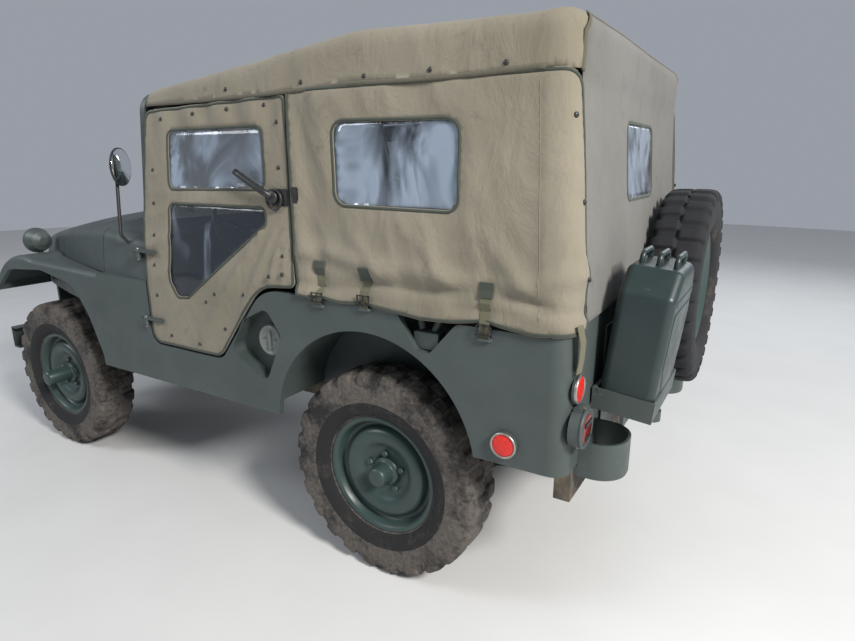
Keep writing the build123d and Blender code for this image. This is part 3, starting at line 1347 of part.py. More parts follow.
def seat_cushions():
    """Cushions and back pads of the front seats and the rear bench."""
    pieces = []
    rear_x = SEAT_FRONT_X - SEAT_DEPTH
    for y in SEAT_CENTRES_Y:
        half = SEAT_W / 2.0
        pieces.append(pad(rear_x + 30.0, SEAT_FRONT_X, y - half, y + half, SEAT_TOP_Z - SEAT_PAD, SEAT_TOP_Z, 24.0))
        back = pad(-SEAT_PAD, 0.0, -half, half, 0.0, 370.0, 24.0)
        pieces.append(Pos(rear_x + 44.1, y, SEAT_TOP_Z + 12.0) * Rot(0, -7.0, 0) * back)
    bench_low = BENCH_TOP_Z - SEAT_PAD
    pieces.append(pad(-1430.0, -1075.0, -BENCH_HALF, BENCH_HALF, bench_low, BENCH_TOP_Z, 24.0))
    pieces.append(pad(BENCH_POST_X + SEAT_TUBE_R + SEAT_GAP, -1436.0, -BENCH_HALF, BENCH_HALF, bench_low + 60.0, 1190.0, 24.0))
    return pieces


def fuel_tank():
    """Tank under the left seat, with its filler neck and cap in the body pocket."""
    base = FLOOR_Z + SHEET + SEAT_GAP + FLOOR_T
    tank = block(-368.0, -60.0, 205.0, BODY_HALF - 70.0, base + SEAT_GAP, 780.0)
    tank = fillet(tank.edges().filter_by(Axis.Y), 24.0)
    tank += rod((-335.0, BODY_HALF - 105.0, 735.0), (-409.0, BODY_HALF - 94.0, 829.0), 26.0)
    tank += rod((-409.0, BODY_HALF - 100.0, 829.0), (-409.0, BODY_HALF - 48.0, 829.0), 34.0)
    tank += rod((-409.0, BODY_HALF - 48.0, 829.0), (-409.0, BODY_HALF - 26.0, 829.0), 50.0)
    return tank


def engine():
    """Engine as one block at its real place, and the radiator behind the grille."""
    core = block(ENGINE_REAR_X, 1180.0, -150.0, 150.0, 560.0, 1060.0)
    sump = block(700.0, 1130.0, -120.0, 120.0, ENGINE_BOTTOM_Z, 565.0)
    radiator = block(GRILLE_X - 94.0, GRILLE_X - 44.0, -280.0, 280.0, 600.0, 1040.0)
    radiator += block(GRILLE_X - 88.0, GRILLE_X - 50.0, -200.0, 200.0, ENGINE_BOTTOM_Z, 605.0)
    return [core + sump, radiator]


def propeller_shaft(start_x, end_x):
    """Propeller shaft from the transfer case to an axle, level at both joints."""
    way = 1.0 if end_x > start_x else -1.0
    high_z = 470.0
    start, end = start_x + way * SEAT_GAP, end_x - way * SEAT_GAP
    near, far = start + way * 34.0, end - way * 34.0
    shaft = rod((start, DIFF_Y, high_z), (near, DIFF_Y, high_z), 30.0)
    shaft += rod((near - way * 4.0, DIFF_Y, high_z), (far + way * 4.0, DIFF_Y, TYRE_R), 22.0)
    return shaft + rod((far, DIFF_Y, TYRE_R), (end, DIFF_Y, TYRE_R), 30.0)


def driveline():
    """Gearbox and transfer case with the two propeller shafts."""
    rear_x, front_x = 20.0, 238.0
    gearbox = block(240.0, ENGINE_REAR_X - SEAT_GAP, -110.0, 110.0, GEARBOX_BOTTOM_Z, FLOOR_Z)
    gearbox += block(rear_x, front_x, -250.0, -90.0, 420.0, FLOOR_Z - 2.0)
    gearbox += block(150.0, 250.0, -110.0, 60.0, GEARBOX_BOTTOM_Z, FLOOR_Z - 2.0)
    nose = DIFF_HALF_LENGTH + 70.0
    return [
        gearbox,
        propeller_shaft(front_x, FRONT_AXLE_X - nose),
        propeller_shaft(rear_x, REAR_AXLE_X + nose),
    ]


def exhaust():
    """Exhaust pipe under the right side with its silencer."""
    front = [(690.0, -150.3, 650.0), (690.0, -250.0, 650.0), (660.0, -250.0, 440.0), (420.0, -455.0, 425.0),
             (300.0, -455.0, 520.0), (250.0, -455.0, 520.0)]
    pipe = bent_rod(front, 20.0, [30.0, 60.0, 60.0, 45.0])
    pipe += rod((260.0, -455.0, 520.0), (-150.0, -455.0, 520.0), 60.0)
    tail = [(-140.0, -455.0, 520.0), (-290.0, -455.0, 520.0), (-370.0, -700.0, 500.0)]
    return pipe + bent_rod(tail, 20.0, 60.0)


# Rear load, lamps and mirror

def rear_bumperettes():
    """Two flat steel loops at the rear corners, the right one below the spare, and the towing hook."""
    back = RAIL_REAR_X - REAR_MEMBER_DEPTH
    eye_x = back - EYE_HOOK_REACH
    hook = block(back - 12.0, back, -60.0, 60.0, 480.0, 590.0)
    hook += block(eye_x, back - 10.0, -20.0, 20.0, EYE_HOOK_Z0, EYE_HOOK_Z1)
    hook += rod((eye_x, 0, EYE_HOOK_Z0), (eye_x, 0, EYE_HOOK_Z1), EYE_HOOK_R)
    hook -= rod((eye_x, 0, EYE_HOOK_Z0 - 1.0), (eye_x, 0, EYE_HOOK_Z1 + 1.0), EYE_HOOK_BORE_R)
    return [rear_loop(LOOP_LEFT_Z, back), other_side(rear_loop(LOOP_RIGHT_Z, back)), hook]


def rear_loop(low_z, back):
    """Left loop with its foot on the rear cross-member's face."""
    root = REAR_FACE_X - SEAT_GAP
    end = root - LOOP_LENGTH
    loop = loop_plan(root, end, 0.0) - loop_plan(root + 1.0, end, LOOP_T)
    foot_top = min(low_z + LOOP_H, FLOOR_Z - LOOP_T)
    foot = block(root - LOOP_T, back, LOOP_Y0, LOOP_Y1, low_z, foot_top)
    return plan_prism(loop, low_z, low_z + LOOP_H) + foot


def loop_plan(root, end, inset):
    """Plan of a rear loop from its root to its round end, inset from the outer face."""
    bend = LOOP_BEND_R - inset
    low, high, tip = LOOP_Y0 + inset, LOOP_Y1 - inset, end + inset
    return outline([(root, low), (tip, low), (tip, high), (root, high)], [0, bend, bend, 0])


def spare_rim():
    """Spare steel wheel with its disc facing the rear."""
    wheel = rim(0.0, 0.0, 0.0, 1)
    return Pos(SPARE_X, SPARE_Y, SPARE_Z) * Rot(0, 0, 90.0) * wheel


def spare_tyre():
    """Spare tyre, flat against the rear panel's bracket."""
    return Pos(SPARE_X, SPARE_Y, SPARE_Z) * Rot(0, 0, 90.0) * tyre_at(tyre_solid(SPARE_BARS), 0.0, 0.0, 0.0, 1)


def can_place():
    """Place of the fuel can: its lower front edge, leaning back."""
    return Pos(CAN_FOOT_X, 0, CAN_FOOT_Z) * Rot(0, -CAN_LEAN, 0)


def jerry_can():
    """Pressed fuel can with sloping shoulders, three handle bars and a filler."""
    low, high = CAN_H - CAN_BEVEL, CAN_H
    face = outline([
        (CAN_Y0, 0.0),
        (CAN_Y1, 0.0),
        (CAN_Y1, low),
        (CAN_Y1 - CAN_BEVEL, high),
        (CAN_Y0 + CAN_BEVEL, high),
        (CAN_Y0, low),
    ])
    body = cross_prism(face, -CAN_T, 0.0)
    body = fillet(body.edges(), CAN_EDGE_R)
    middle = (CAN_Y0 + CAN_Y1) / 2.0
    top = CAN_H - 4.0
    for shift in (-CAN_HANDLE_PITCH, 0.0, CAN_HANDLE_PITCH):
        x = -CAN_T / 2.0 + shift
        points = [(x, middle - CAN_HANDLE_HALF, top), (x, middle - CAN_HANDLE_HALF, CAN_H + CAN_HANDLE_RISE),
                  (x, middle + CAN_HANDLE_HALF, CAN_H + CAN_HANDLE_RISE), (x, middle + CAN_HANDLE_HALF, top)]
        body += bent_rod(points, CAN_HANDLE_R, 20.0)
    filler = Pos(-CAN_T / 2.0, CAN_Y0 + CAN_BEVEL / 2.0, CAN_H - CAN_BEVEL / 2.0) * Rot(45.0, 0, 0)
    body += filler * Cylinder(27.0, 44.0)
    return can_place() * body


def rear_carriers():
    """Spare wheel bracket and fuel can tray on the rear panel."""
    face = REAR_FACE_X - 6.0 - SEAT_GAP
    disc = SPARE_X - DISC_FACE + SEAT_GAP
    bracket = block(face - 8.0, face, SPARE_Y - 90.0, SPARE_Y + 90.0, SPARE_Z - 90.0, SPARE_Z + 60.0)
    bracket += rod((face, SPARE_Y, SPARE_Z), (disc, SPARE_Y, SPARE_Z), 50.0)
    bracket += rod((disc + 9.0, SPARE_Y, SPARE_Z), (disc, SPARE_Y, SPARE_Z), STUD_CIRCLE_R + 14.0)
    for angle in stud_places():
        y = SPARE_Y + STUD_CIRCLE_R * math.cos(math.radians(angle))
        z = SPARE_Z + STUD_CIRCLE_R * math.sin(math.radians(angle))
        bracket += rod((disc + 1.0, y, z), (disc - RIM_WALL - 13.0, y, z), STUD_R)
    tray_y0, tray_y1 = CAN_Y0 - 6.0, CAN_Y1 + 6.0
    tray = block(-CAN_T - 6.0, 2.0, tray_y0, tray_y1, -6.0, 60.0)
    tray -= block(-CAN_T - SEAT_GAP, 30.0, CAN_Y0 - SEAT_GAP, CAN_Y1 + SEAT_GAP, -SEAT_GAP, 70.0)
    tray = can_place() * tray
    hanger = block(CAN_FOOT_X - 2.0, face, tray_y0, tray_y1, CAN_FOOT_Z - 8.0, CAN_FOOT_Z + 60.0)
    return [bracket, tray + (hanger - can_space())]


def can_space():
    """Space taken by the can and its running clearance."""
    body = block(-CAN_T - SEAT_GAP, SEAT_GAP, CAN_Y0 - SEAT_GAP, CAN_Y1 + SEAT_GAP, -SEAT_GAP, CAN_H)
    return can_place() * body


def tail_lamps():
    """Tail lamps and reflectors at the rear corners and reflectors on the sides."""
    face = REAR_FACE_X - SEAT_GAP
    lamps = []
    # side, height: the right lamp sits lower, below the spare wheel
    for side, z in ((1, LAMP_REAR_Z), (-1, LAMP_REAR_RIGHT_Z)):
        y = side * LAMP_REAR_Y
        lamp = rod((face, y, z), (face - LAMP_REAR_DEPTH, y, z), LAMP_REAR_R)
        lens = (face - LAMP_REAR_DEPTH - 8.0, y, z)
        lamps.append(lamp + rod((face - LAMP_REAR_DEPTH + 1.0, y, z), lens, LAMP_REAR_R - 12.0))
    reflector = rod((face, LAMP_REAR_Y, 857.0), (face - 9.0, LAMP_REAR_Y, 857.0), 42.0)
    side_mark = rod((-1364.0, BODY_HALF + SEAT_GAP, 669.0), (-1364.0, BODY_HALF + 12.0, 669.0), 40.0)
    return lamps + both_sides(reflector) + both_sides(side_mark)


def side_mirror():
    """Round mirror on a bent arm at the left cowl side, turned towards the driver."""
    foot_y = BODY_HALF - 48.0
    head_y = BODY_HALF - 38.0
    points = [(405.0, foot_y, 1118.0), (412.0, BODY_HALF - 8.0, 1172.0), (430.0, head_y, MIRROR_Z)]
    arm = bent_rod(points, 7.0, 28.0)
    outer = loft([
        nose_section(DOOR_FRONT_X, *COWL_REAR, -SEAT_GAP),
        nose_section(SEAM_X, *HOOD_REAR, -SEAT_GAP),
    ])
    arm = max((arm - outer).solids(), key=lambda solid: solid.volume)
    # distance ahead of the mirror's face, radius
    bowl = [(0.0, MIRROR_R), (6.0, MIRROR_R), (18.0, MIRROR_R - 22.0), (24.0, 16.0)]
    corners = [(0.0, bowl[0][0])] + [(radius, ahead) for ahead, radius in bowl] + [(0.0, bowl[-1][0])]
    head = revolve(Plane.XZ * outline(corners), axis=Axis.Z)
    place = Pos(430.0, head_y, MIRROR_Z) * Rot(0, 0, MIRROR_TURN) * Rot(0, 90.0, 0) * Pos(0, 0, -22.0)
    return arm + place * head + Pos(430.0, head_y, MIRROR_Z) * Sphere(9.0)


def main():
    """Build every node and write it."""
    os.makedirs("parts", exist_ok=True)
    save("chassis_frame", chassis_frame())
    save("suspension", suspension())
    save("front_axle", front_axle())
    save("rear_axle", rear_axle())
    save("knuckle_left", knuckle(1))
    save("knuckle_right", knuckle(-1))
    save("tie_rod", tie_rod())
    road_wheels()
    save("side_panel_left", tub_side(1))
    save("side_panel_right", tub_side(-1))
    save("rear_panel", rear_panel())
    save("floor_pan", floor_pan())
    save("cowl", cowl())
    save("hood", hood())
    save("front_fenders", front_fenders())
    save("grille_panel", grille_panel())
    save("front_lamps", head_lamps())
    save("front_bumper", front_bumper())
    save("door_left", door(1))
    save("door_right", door(-1))
    save("door_windows_left", door_panes(1))
    save("door_windows_right", door_panes(-1))
    save("windshield_frame", windshield_frame())
    save("windshield_glass", windshield_glass())
    save("side_curtains", side_curtains())
    save("rear_curtain", rear_curtain())
    save("curtain_windows", curtain_windows())
    save("roof_canvas", roof_canvas())
    save("top_bows", top_bows())
    save("steering_column", steering_column())
    save("steering_wheel", steering_wheel())
    save("seat_frames", seat_frames())
    save("seat_cushions", seat_cushions())
    save("fuel_tank", fuel_tank())
    save("engine", engine())
    save("driveline", driveline())
    save("exhaust", exhaust())
    save("rear_bumperettes", rear_bumperettes())
    save("spare_tyre", spare_tyre())
    save("spare_rim", spare_rim())
    save("jerry_can", jerry_can())
    save("rear_carriers", rear_carriers())
    save("tail_lamps", tail_lamps())
    save("mirror", side_mirror())


main()
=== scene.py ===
import math

import bmesh
import bpy
import numpy as np
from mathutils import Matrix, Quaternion, Vector, noise
from mathutils.geometry import delaunay_2d_cdt


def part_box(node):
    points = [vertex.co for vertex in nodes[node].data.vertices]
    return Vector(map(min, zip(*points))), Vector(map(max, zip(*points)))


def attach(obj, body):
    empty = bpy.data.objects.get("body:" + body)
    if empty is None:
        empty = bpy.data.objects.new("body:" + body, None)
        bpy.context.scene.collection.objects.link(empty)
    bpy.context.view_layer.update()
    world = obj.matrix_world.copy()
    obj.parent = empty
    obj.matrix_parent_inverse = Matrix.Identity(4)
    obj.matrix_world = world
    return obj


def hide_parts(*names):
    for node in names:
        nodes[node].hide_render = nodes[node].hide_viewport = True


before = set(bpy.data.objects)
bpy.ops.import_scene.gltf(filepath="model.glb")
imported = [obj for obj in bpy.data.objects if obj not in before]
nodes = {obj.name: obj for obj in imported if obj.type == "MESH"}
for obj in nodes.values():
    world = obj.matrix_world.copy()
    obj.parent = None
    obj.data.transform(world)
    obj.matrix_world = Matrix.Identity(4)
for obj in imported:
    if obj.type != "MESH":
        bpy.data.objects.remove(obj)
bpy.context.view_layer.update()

SIDES = (("left", 1), ("right", -1))

# Materials


def new_material(name):
    """Empty node material, its tree, its shader, and the object coordinates that its textures use."""
    mat = bpy.data.materials.new(name)
    mat.use_nodes = True
    tree = mat.node_tree
    coords = tree.nodes.new("ShaderNodeTexCoord")
    return mat, tree, tree.nodes["Principled BSDF"], coords.outputs["Object"]


def feed(tree, node, values):
    """Inputs of a node: a socket is linked and a plain value is written."""
    for name, value in values.items():
        if isinstance(value, bpy.types.NodeSocket):
            tree.links.new(value, node.inputs[name])
        else:
            node.inputs[name].default_value = value


def noise_node(tree, coords, scale, detail=4.0, rough=0.55, stretch=None, distort=0.0):
    """Noise texture's factor, with the coordinates stretched where a direction matters."""
    if stretch:
        mapping = tree.nodes.new("ShaderNodeMapping")
        feed(tree, mapping, {"Scale": stretch, "Vector": coords})
        coords = mapping.outputs["Vector"]
    node = tree.nodes.new("ShaderNodeTexNoise")
    feed(tree, node, {"Scale": scale, "Detail": detail, "Roughness": rough, "Distortion": distort, "Vector": coords})
    return node.outputs["Fac"]


def ramp_node(tree, fac, low, high, start=0.0, end=1.0):
    """Factor remapped so that low gives the start and high gives the end."""
    node = tree.nodes.new("ShaderNodeMapRange")
    feed(tree, node, {"Value": fac, "From Min": low, "From Max": high, "To Min": start, "To Max": end})
    return node.outputs["Result"]


def mix_node(tree, fac, a, b):
    """Colour between a and b, each a colour or a socket."""
    node = tree.nodes.new("ShaderNodeMix")
    node.data_type = "RGBA"
    # 6 and 7 are the node's colour inputs, and 2 is its colour output
    first, last = ((*value, 1.0) if isinstance(value, tuple) else value for value in (a, b))
    feed(tree, node, {"Factor": fac, 6: first, 7: last})
    return node.outputs[2]


def bump_node(tree, height, strength, distance, under=None):
    """Bump from a height, over another bump where one is given."""
    node = tree.nodes.new("ShaderNodeBump")
    feed(tree, node, {"Height": height, "Strength": strength, "Distance": distance})
    if under:
        tree.links.new(under, node.inputs["Normal"])
    return node.outputs["Normal"]


def add_nodes(tree, a, b, share):
    """a plus share of b."""
    node = tree.nodes.new("ShaderNodeMath")
    node.operation = "MULTIPLY_ADD"
    feed(tree, node, {0: b, 1: share, 2: a})
    return node.outputs[0]


def tinted(colour, share, extra=0.0):
    """Colour made lighter or darker."""
    return tuple(min(1.0, share * c + extra) for c in colour)


def painted(name, base, worn, dirt, rough, dirt_level=0.66):
    """Old semi-gloss paint with faded patches, small scratches and dust."""
    mat, tree, shader, coords = new_material(name)
    patches = noise_node(tree, coords, 2.6, 5.0, 0.6)
    faded = mix_node(tree, ramp_node(tree, patches, 0.35, 0.7), base, worn)
    scratch = noise_node(tree, coords, 34.0, 6.0, 0.75, stretch=(1.0, 1.0, 4.0), distort=1.2)
    scuffed = mix_node(tree, ramp_node(tree, scratch, 0.635, 0.74), faded, tinted(worn, 2.4))
    grime = noise_node(tree, coords, 7.0, 8.0, 0.7)
    dents = bump_node(tree, noise_node(tree, coords, 5.0, 2.0, 0.4), 0.12, 0.02)
    orange_peel = noise_node(tree, coords, 160.0, 3.0, 0.6)
    feed(tree, shader, {
        "Base Color": mix_node(tree, ramp_node(tree, grime, dirt_level, dirt_level + 0.25), scuffed, dirt),
        "Roughness": ramp_node(tree, grime, 0.3, 0.75, rough, rough + 0.28),
        "Normal": bump_node(tree, orange_peel, 0.05, 0.001, dents)})
    return mat


def canvas_material(name, base, faded, stain, fold=0.1):
    """Heavy woven cotton: weave, soft folds, faded and stained areas."""
    mat, tree, shader, coords = new_material(name)
    area = noise_node(tree, coords, 2.2, 5.0, 0.6)
    tone = mix_node(tree, ramp_node(tree, area, 0.32, 0.68), base, faded)
    spots = noise_node(tree, coords, 9.0, 7.0, 0.7)
    tone = mix_node(tree, ramp_node(tree, spots, 0.60, 0.80), tone, stain)
    fine = noise_node(tree, coords, 420.0, 2.0, 0.5)
    tone = mix_node(tree, ramp_node(tree, fine, 0.62, 0.95), tone, tinted(base, 0.72))
    crease = noise_node(tree, coords, 7.0, 6.0, 0.62, stretch=(1.0, 1.0, 0.55), distort=0.6)
    weave = None
    for axis in "XYZ":
        wave = tree.nodes.new("ShaderNodeTexWave")
        wave.bands_direction = axis
        feed(tree, wave, {"Scale": 300.0, "Distortion": 0.6, "Detail": 1.0, "Vector": coords})
        weave = wave.outputs["Fac"] if weave is None else add_nodes(tree, weave, wave.outputs["Fac"], 1.0)
    feed(tree, shader, {
        "Base Color": tone, "Roughness": 0.86, "Specular IOR Level": 0.25, "Sheen Weight": 0.12,
        "Normal": bump_node(tree, weave, 0.25, 0.0006, bump_node(tree, crease, fold, 0.03))})
    return mat


def rubber(name, base, mud, mud_from, lump):
    """Tyre rubber with dried mud."""
    mat, tree, shader, coords = new_material(name)
    caked = noise_node(tree, coords, 6.0, 9.0, 0.7)
    grain = noise_node(tree, coords, 60.0, 6.0, 0.75)
    both = add_nodes(tree, caked, grain, 0.25)
    dried = mix_node(tree, ramp_node(tree, grain, 0.35, 0.7), tinted(mud, 0.45), mud)
    feed(tree, shader, {
        "Base Color": mix_node(tree, ramp_node(tree, both, mud_from, mud_from + 0.16), base, dried),
        "Roughness": 0.88,
        "Normal": bump_node(tree, grain, 0.4, 0.004, bump_node(tree, both, lump, 0.02))})
    return mat


def clear_glass(name, tint):
    """Clear glass with soft waves in its surface."""
    mat, tree, shader, coords = new_material(name)
    haze = noise_node(tree, coords, 5.0, 5.0, 0.6)
    ripple = noise_node(tree, coords, 7.0, 3.0, 0.5, distort=1.5)
    feed(tree, shader, {
        "Base Color": mix_node(tree, ramp_node(tree, haze, 0.4, 0.75), tint, tinted(tint, 1.5)),
        "Roughness": 0.03, "Alpha": 0.30, "Specular IOR Level": 0.9, "Coat Weight": 1.0, "Coat Roughness": 0.05,
        "Normal": bump_node(tree, ripple, 0.03, 0.05)})
    return mat


def vinyl_sheet(name, haze_and_reflection_from):
    """Old clear vinyl, wavy: milky light blue patches that are partly its own haze and partly painted reflection of the
    sky, and clear parts tinted dark as painted shade behind it.
    """
    mat, tree, shader, coords = new_material(name)
    waves = noise_node(tree, coords, 4.2, 3.0, 0.55, stretch=(1.0, 1.0, 0.7), distort=1.1)
    # where the noise is high the pane turns milky: its own haze and painted reflection together
    haze_and_reflection = ramp_node(tree, waves, haze_and_reflection_from - 0.04, haze_and_reflection_from + 0.16)
    feed(tree, shader, {
        # the dark tint of the clear parts is painted shade; the light blue-grey of the milky parts is painted sky
        # reflection over the vinyl's haze
        "Base Color": mix_node(tree, haze_and_reflection, (0.040, 0.050, 0.065), (0.27, 0.33, 0.41)),
        "Alpha": ramp_node(tree, haze_and_reflection, 0.0, 1.0, 0.34, 0.86),
        "Roughness": 0.12, "Coat Weight": 1.0, "Coat Roughness": 0.04,
        "Normal": bump_node(tree, waves, 0.5, 0.03)})
    return mat


def plain_finish(name, base, rough, metallic=0.0, vary=0.25, height=0.001):
    """Small hard parts: slightly uneven colour and surface."""
    mat, tree, shader, coords = new_material(name)
    spots = noise_node(tree, coords, 80.0, 5.0, 0.6)
    feed(tree, shader, {
        "Base Color": mix_node(tree, ramp_node(tree, spots, 0.3, 0.7), base, tinted(base, 1.0 + vary, 0.01)),
        "Roughness": rough, "Metallic": metallic, "Normal": bump_node(tree, spots, 0.2, height)})
    return mat


MUD = (0.17, 0.135, 0.095)
SOFT_FOLD = 0.35
paint = painted("body_paint", (0.040, 0.054, 0.051), (0.059, 0.075, 0.073), MUD, 0.36)
wheel_paint = painted("wheel_paint", (0.020, 0.040, 0.036), (0.034, 0.058, 0.052), MUD, 0.26)
frame_paint = painted("frame_paint", (0.028, 0.026, 0.022), (0.045, 0.04, 0.034), MUD, 0.7, 0.44)
can_paint = painted("can_paint", (0.012, 0.024, 0.024), (0.022, 0.036, 0.036), (0.06, 0.06, 0.05), 0.26, 0.72)
bright_paint = painted("bright_paint", (0.10, 0.115, 0.105), (0.16, 0.18, 0.17), MUD, 0.24, 0.75)
iron = painted("engine_iron", (0.05, 0.055, 0.045), (0.07, 0.07, 0.06), (0.08, 0.07, 0.05), 0.6, 0.5)
canvas = canvas_material("canvas", (0.182, 0.163, 0.121), (0.235, 0.211, 0.162), (0.110, 0.098, 0.073), SOFT_FOLD)
rear_canvas = canvas_material("rear_canvas", (0.118, 0.115, 0.104), (0.158, 0.156, 0.144), (0.06, 0.06, 0.056),
                              SOFT_FOLD)
hem_cloth = canvas_material("hem_cloth", (0.085, 0.080, 0.055), (0.11, 0.10, 0.075), (0.05, 0.05, 0.035))
binding = canvas_material("binding", (0.040, 0.048, 0.038), (0.058, 0.068, 0.054), (0.03, 0.034, 0.028))
seat_cloth = canvas_material("seat_cloth", (0.085, 0.095, 0.055), (0.11, 0.12, 0.07), (0.06, 0.06, 0.04), SOFT_FOLD)
webbing = canvas_material("webbing", (0.105, 0.100, 0.062), (0.13, 0.125, 0.08), (0.07, 0.07, 0.05))
mud_rubber = rubber("mud_rubber", (0.014, 0.013, 0.013), (0.142, 0.124, 0.108), 0.50, 0.9)
clean_rubber = rubber("clean_rubber", (0.010, 0.011, 0.013), (0.030, 0.030, 0.030), 0.72, 0.15)
wall_rubber = rubber("wall_rubber", (0.010, 0.010, 0.011), (0.070, 0.062, 0.054), 0.66, 0.3)
# both vinyls carry painted reflection in their milky patches and painted shade in their clear parts; the second, for
# the lower door panes, has fewer milky patches, so it is darker as painted shade
vinyl = vinyl_sheet("vinyl", 0.42)
shaded_vinyl = vinyl_sheet("shaded_vinyl", 0.60)
glass = clear_glass("glass", (0.35, 0.42, 0.40))
black = plain_finish("black_parts", (0.012, 0.012, 0.013), 0.42)
steel = plain_finish("dull_steel", (0.32, 0.31, 0.29), 0.38, 0.9)
red_lens = plain_finish("red_lens", (0.52, 0.012, 0.006), 0.22)
dark_lens = plain_finish("dark_lens", (0.10, 0.006, 0.005), 0.2)
mirror_face = plain_finish("mirror_face", (0.75, 0.77, 0.78), 0.04, 1.0, vary=0.03, height=0.0)
lamp_glass = plain_finish("lamp_glass", (0.62, 0.64, 0.62), 0.08, 0.0, vary=0.06, height=0.0)

LOOKS = (
    (frame_paint, "chassis_frame suspension front_axle rear_axle knuckle_left knuckle_right tie_rod exhaust"),
    (mud_rubber, "tyre_front_left tyre_front_right tyre_rear_left tyre_rear_right"),
    (wheel_paint, "wheel_front_left wheel_front_right wheel_rear_left wheel_rear_right spare_rim"),
    (paint, "side_panel_left side_panel_right rear_panel floor_pan cowl hood front_fenders grille_panel front_lamps "
            "front_bumper windshield_frame top_bows steering_column seat_frames fuel_tank rear_bumperettes "
            "rear_carriers tail_lamps"),
    (canvas, "door_left door_right side_curtains rear_curtain roof_canvas"),
    (vinyl, "door_windows_left door_windows_right curtain_windows"),
    (glass, "windshield_glass"), (black, "steering_wheel mirror"), (seat_cloth, "seat_cushions"),
    (iron, "engine driveline"), (clean_rubber, "spare_tyre"), (can_paint, "jerry_can"),
)
for look, names in LOOKS:
    for node_name in names.split():
        node_data = nodes[node_name].data
        node_data.materials.clear()
        node_data.materials.append(look)

# Meshes


def add_object(name, mesh, mats, body=None):
    """Object of a mesh, in the scene and on its body."""
    for mat in mats:
        mesh.materials.append(mat)
    obj = bpy.data.objects.new(name, mesh)
    bpy.context.scene.collection.objects.link(obj)
    if body:
        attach(obj, body)
    return obj


def finish_mesh(name, verts, faces, mats, body, flat=False, weld=0.0):
    """Object from points and faces on its body, smooth unless it is flat."""
    mesh = bpy.data.meshes.new(name)
    mesh.from_pydata([tuple(vert) for vert in verts], [], faces)
    mesh.validate()
    bm = bmesh.new()
    bm.from_mesh(mesh)
    if weld:
        bmesh.ops.remove_doubles(bm, verts=bm.verts, dist=weld)
    bmesh.ops.recalc_face_normals(bm, faces=bm.faces)
    bm.to_mesh(mesh)
    bm.free()
    for polygon in mesh.polygons:
        polygon.use_smooth = not flat
    return add_object(name, mesh, mats if isinstance(mats, list) else [mats], body)


def band_faces(rows, across, closed):
    """Faces between rows of points that go round: back to the first row if closed, with end faces if not."""
    faces = []
    for row in range(rows if closed else rows - 1):
        ahead = (row + 1) % rows
        for k in range(across):
            j = (k + 1) % across
            faces.append((row * across + k, row * across + j, ahead * across + j, ahead * across + k))
    if not closed:
        faces += [tuple(reversed(range(across))), tuple((rows - 1) * across + k for k in range(across))]
    return faces


def ways(path, closed=False):
    """Direction of a path at each of its points."""
    count = len(path)
    out = []
    for index, here in enumerate(path):
        back = path[index - 1] if closed or index else here
        ahead = path[(index + 1) % count] if closed or index < count - 1 else here
        out.append((ahead - back).normalized())
    return out


def circle(count, start=0.0):
    """Cosine and sine of even steps round a circle."""
    angles = [start + 2.0 * math.pi * k / count for k in range(count)]
    return [(math.cos(angle), math.sin(angle)) for angle in angles]


def lathe(name, profile, at, way, mat, body, segments=40, ring=False, flat=False):
    """Turned piece from (along, radius) rows about an axis, open in its middle if it is a ring."""
    turn = Vector(way).to_track_quat("Z", "Y")
    verts = [Vector(at) + turn @ Vector((radius * cos_a, radius * sin_a, along))
             for along, radius in profile for cos_a, sin_a in circle(segments)]
    return finish_mesh(name, verts, band_faces(len(profile), segments, ring), mat, body, flat)


def round_tube(name, path, radius, mat, body, closed=False, segments=10):
    """Round bar along a path."""
    verts = []
    up = Vector((0.0, 1.0, 0.0))
    for here, way in zip(path, ways(path, closed)):
        side = way.cross(up).normalized()
        up = side.cross(way).normalized()
        verts += [here + side * (radius * cos_a) + up * (radius * sin_a) for cos_a, sin_a in circle(segments)]
    return finish_mesh(name, verts, band_faces(len(path), segments, closed), mat, body)


def ribbon(name, path, across, width, thickness, mat, body="car"):
    """Flat webbing along a path of points, with a fixed direction across."""
    path = [Vector(point) for point in path]
    wide = Vector(across).normalized() * (width / 2.0)
    verts = []
    for here, way in zip(path, ways(path)):
        up = way.cross(wide).normalized() * (thickness / 2.0)
        verts += [here - wide - up, here + wide - up, here + wide + up, here - wide + up]
    return finish_mesh(name, verts, band_faces(len(path), 4, False), mat, body, flat=True)


def bar_box(name, low, high, mat, body, bevel=0.0015):
    """Straight-sided bar with softened edges."""
    bm = bmesh.new()
    bmesh.ops.create_cube(bm, size=1.0)
    bmesh.ops.scale(bm, vec=[h - l for l, h in zip(low, high)], verts=bm.verts)
    bmesh.ops.translate(bm, vec=[(h + l) / 2.0 for l, h in zip(low, high)], verts=bm.verts)
    bmesh.ops.bevel(bm, geom=bm.edges[:], offset=bevel, segments=2, affect="EDGES")
    mesh = bpy.data.meshes.new(name)
    bm.to_mesh(mesh)
    bm.free()
    return add_object(name, mesh, [mat], body)


def beside(side, near, far):
    """Lower and higher Y of a piece that lies between two distances on one side."""
    return sorted((side * near, side * far))


# Patterns and cloth

CLOTH_STEP = 0.017
CLOTH_T = 0.003
# share of the folds that is left at an edge, and the distance from it at which they are whole
EDGE_CALM = 0.45
EDGE_REACH = 0.04
curtain_low, curtain_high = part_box("side_curtains")
FOOT_Z, TOP_Z = curtain_low.z, curtain_high.z
FOOT_HALF = curtain_high.y
REAR_X = curtain_low.x
CURTAIN_LEAN = 0.057
REAR_LEAN = 0.0523
CORNER_R = 0.060
FLAP_Y = 0.655
roof_low, roof_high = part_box("roof_canvas")
ROOF_FRONT, ROOF_REAR, ROOF_TOP = roof_high.x, roof_low.x, roof_high.z
ROOF_R = 0.050
ROOF_PLAN_R = 0.030
ROOF_HALF = 0.699
ROOF_HEM = 1.6885
FRONT_DROP = 0.011
ROOF_REAR_Z = 1.836
ROOF_EDGE_Z = ROOF_REAR_Z - ROOF_R
BOW_X = -0.800
QUARTER = math.pi / 2.0


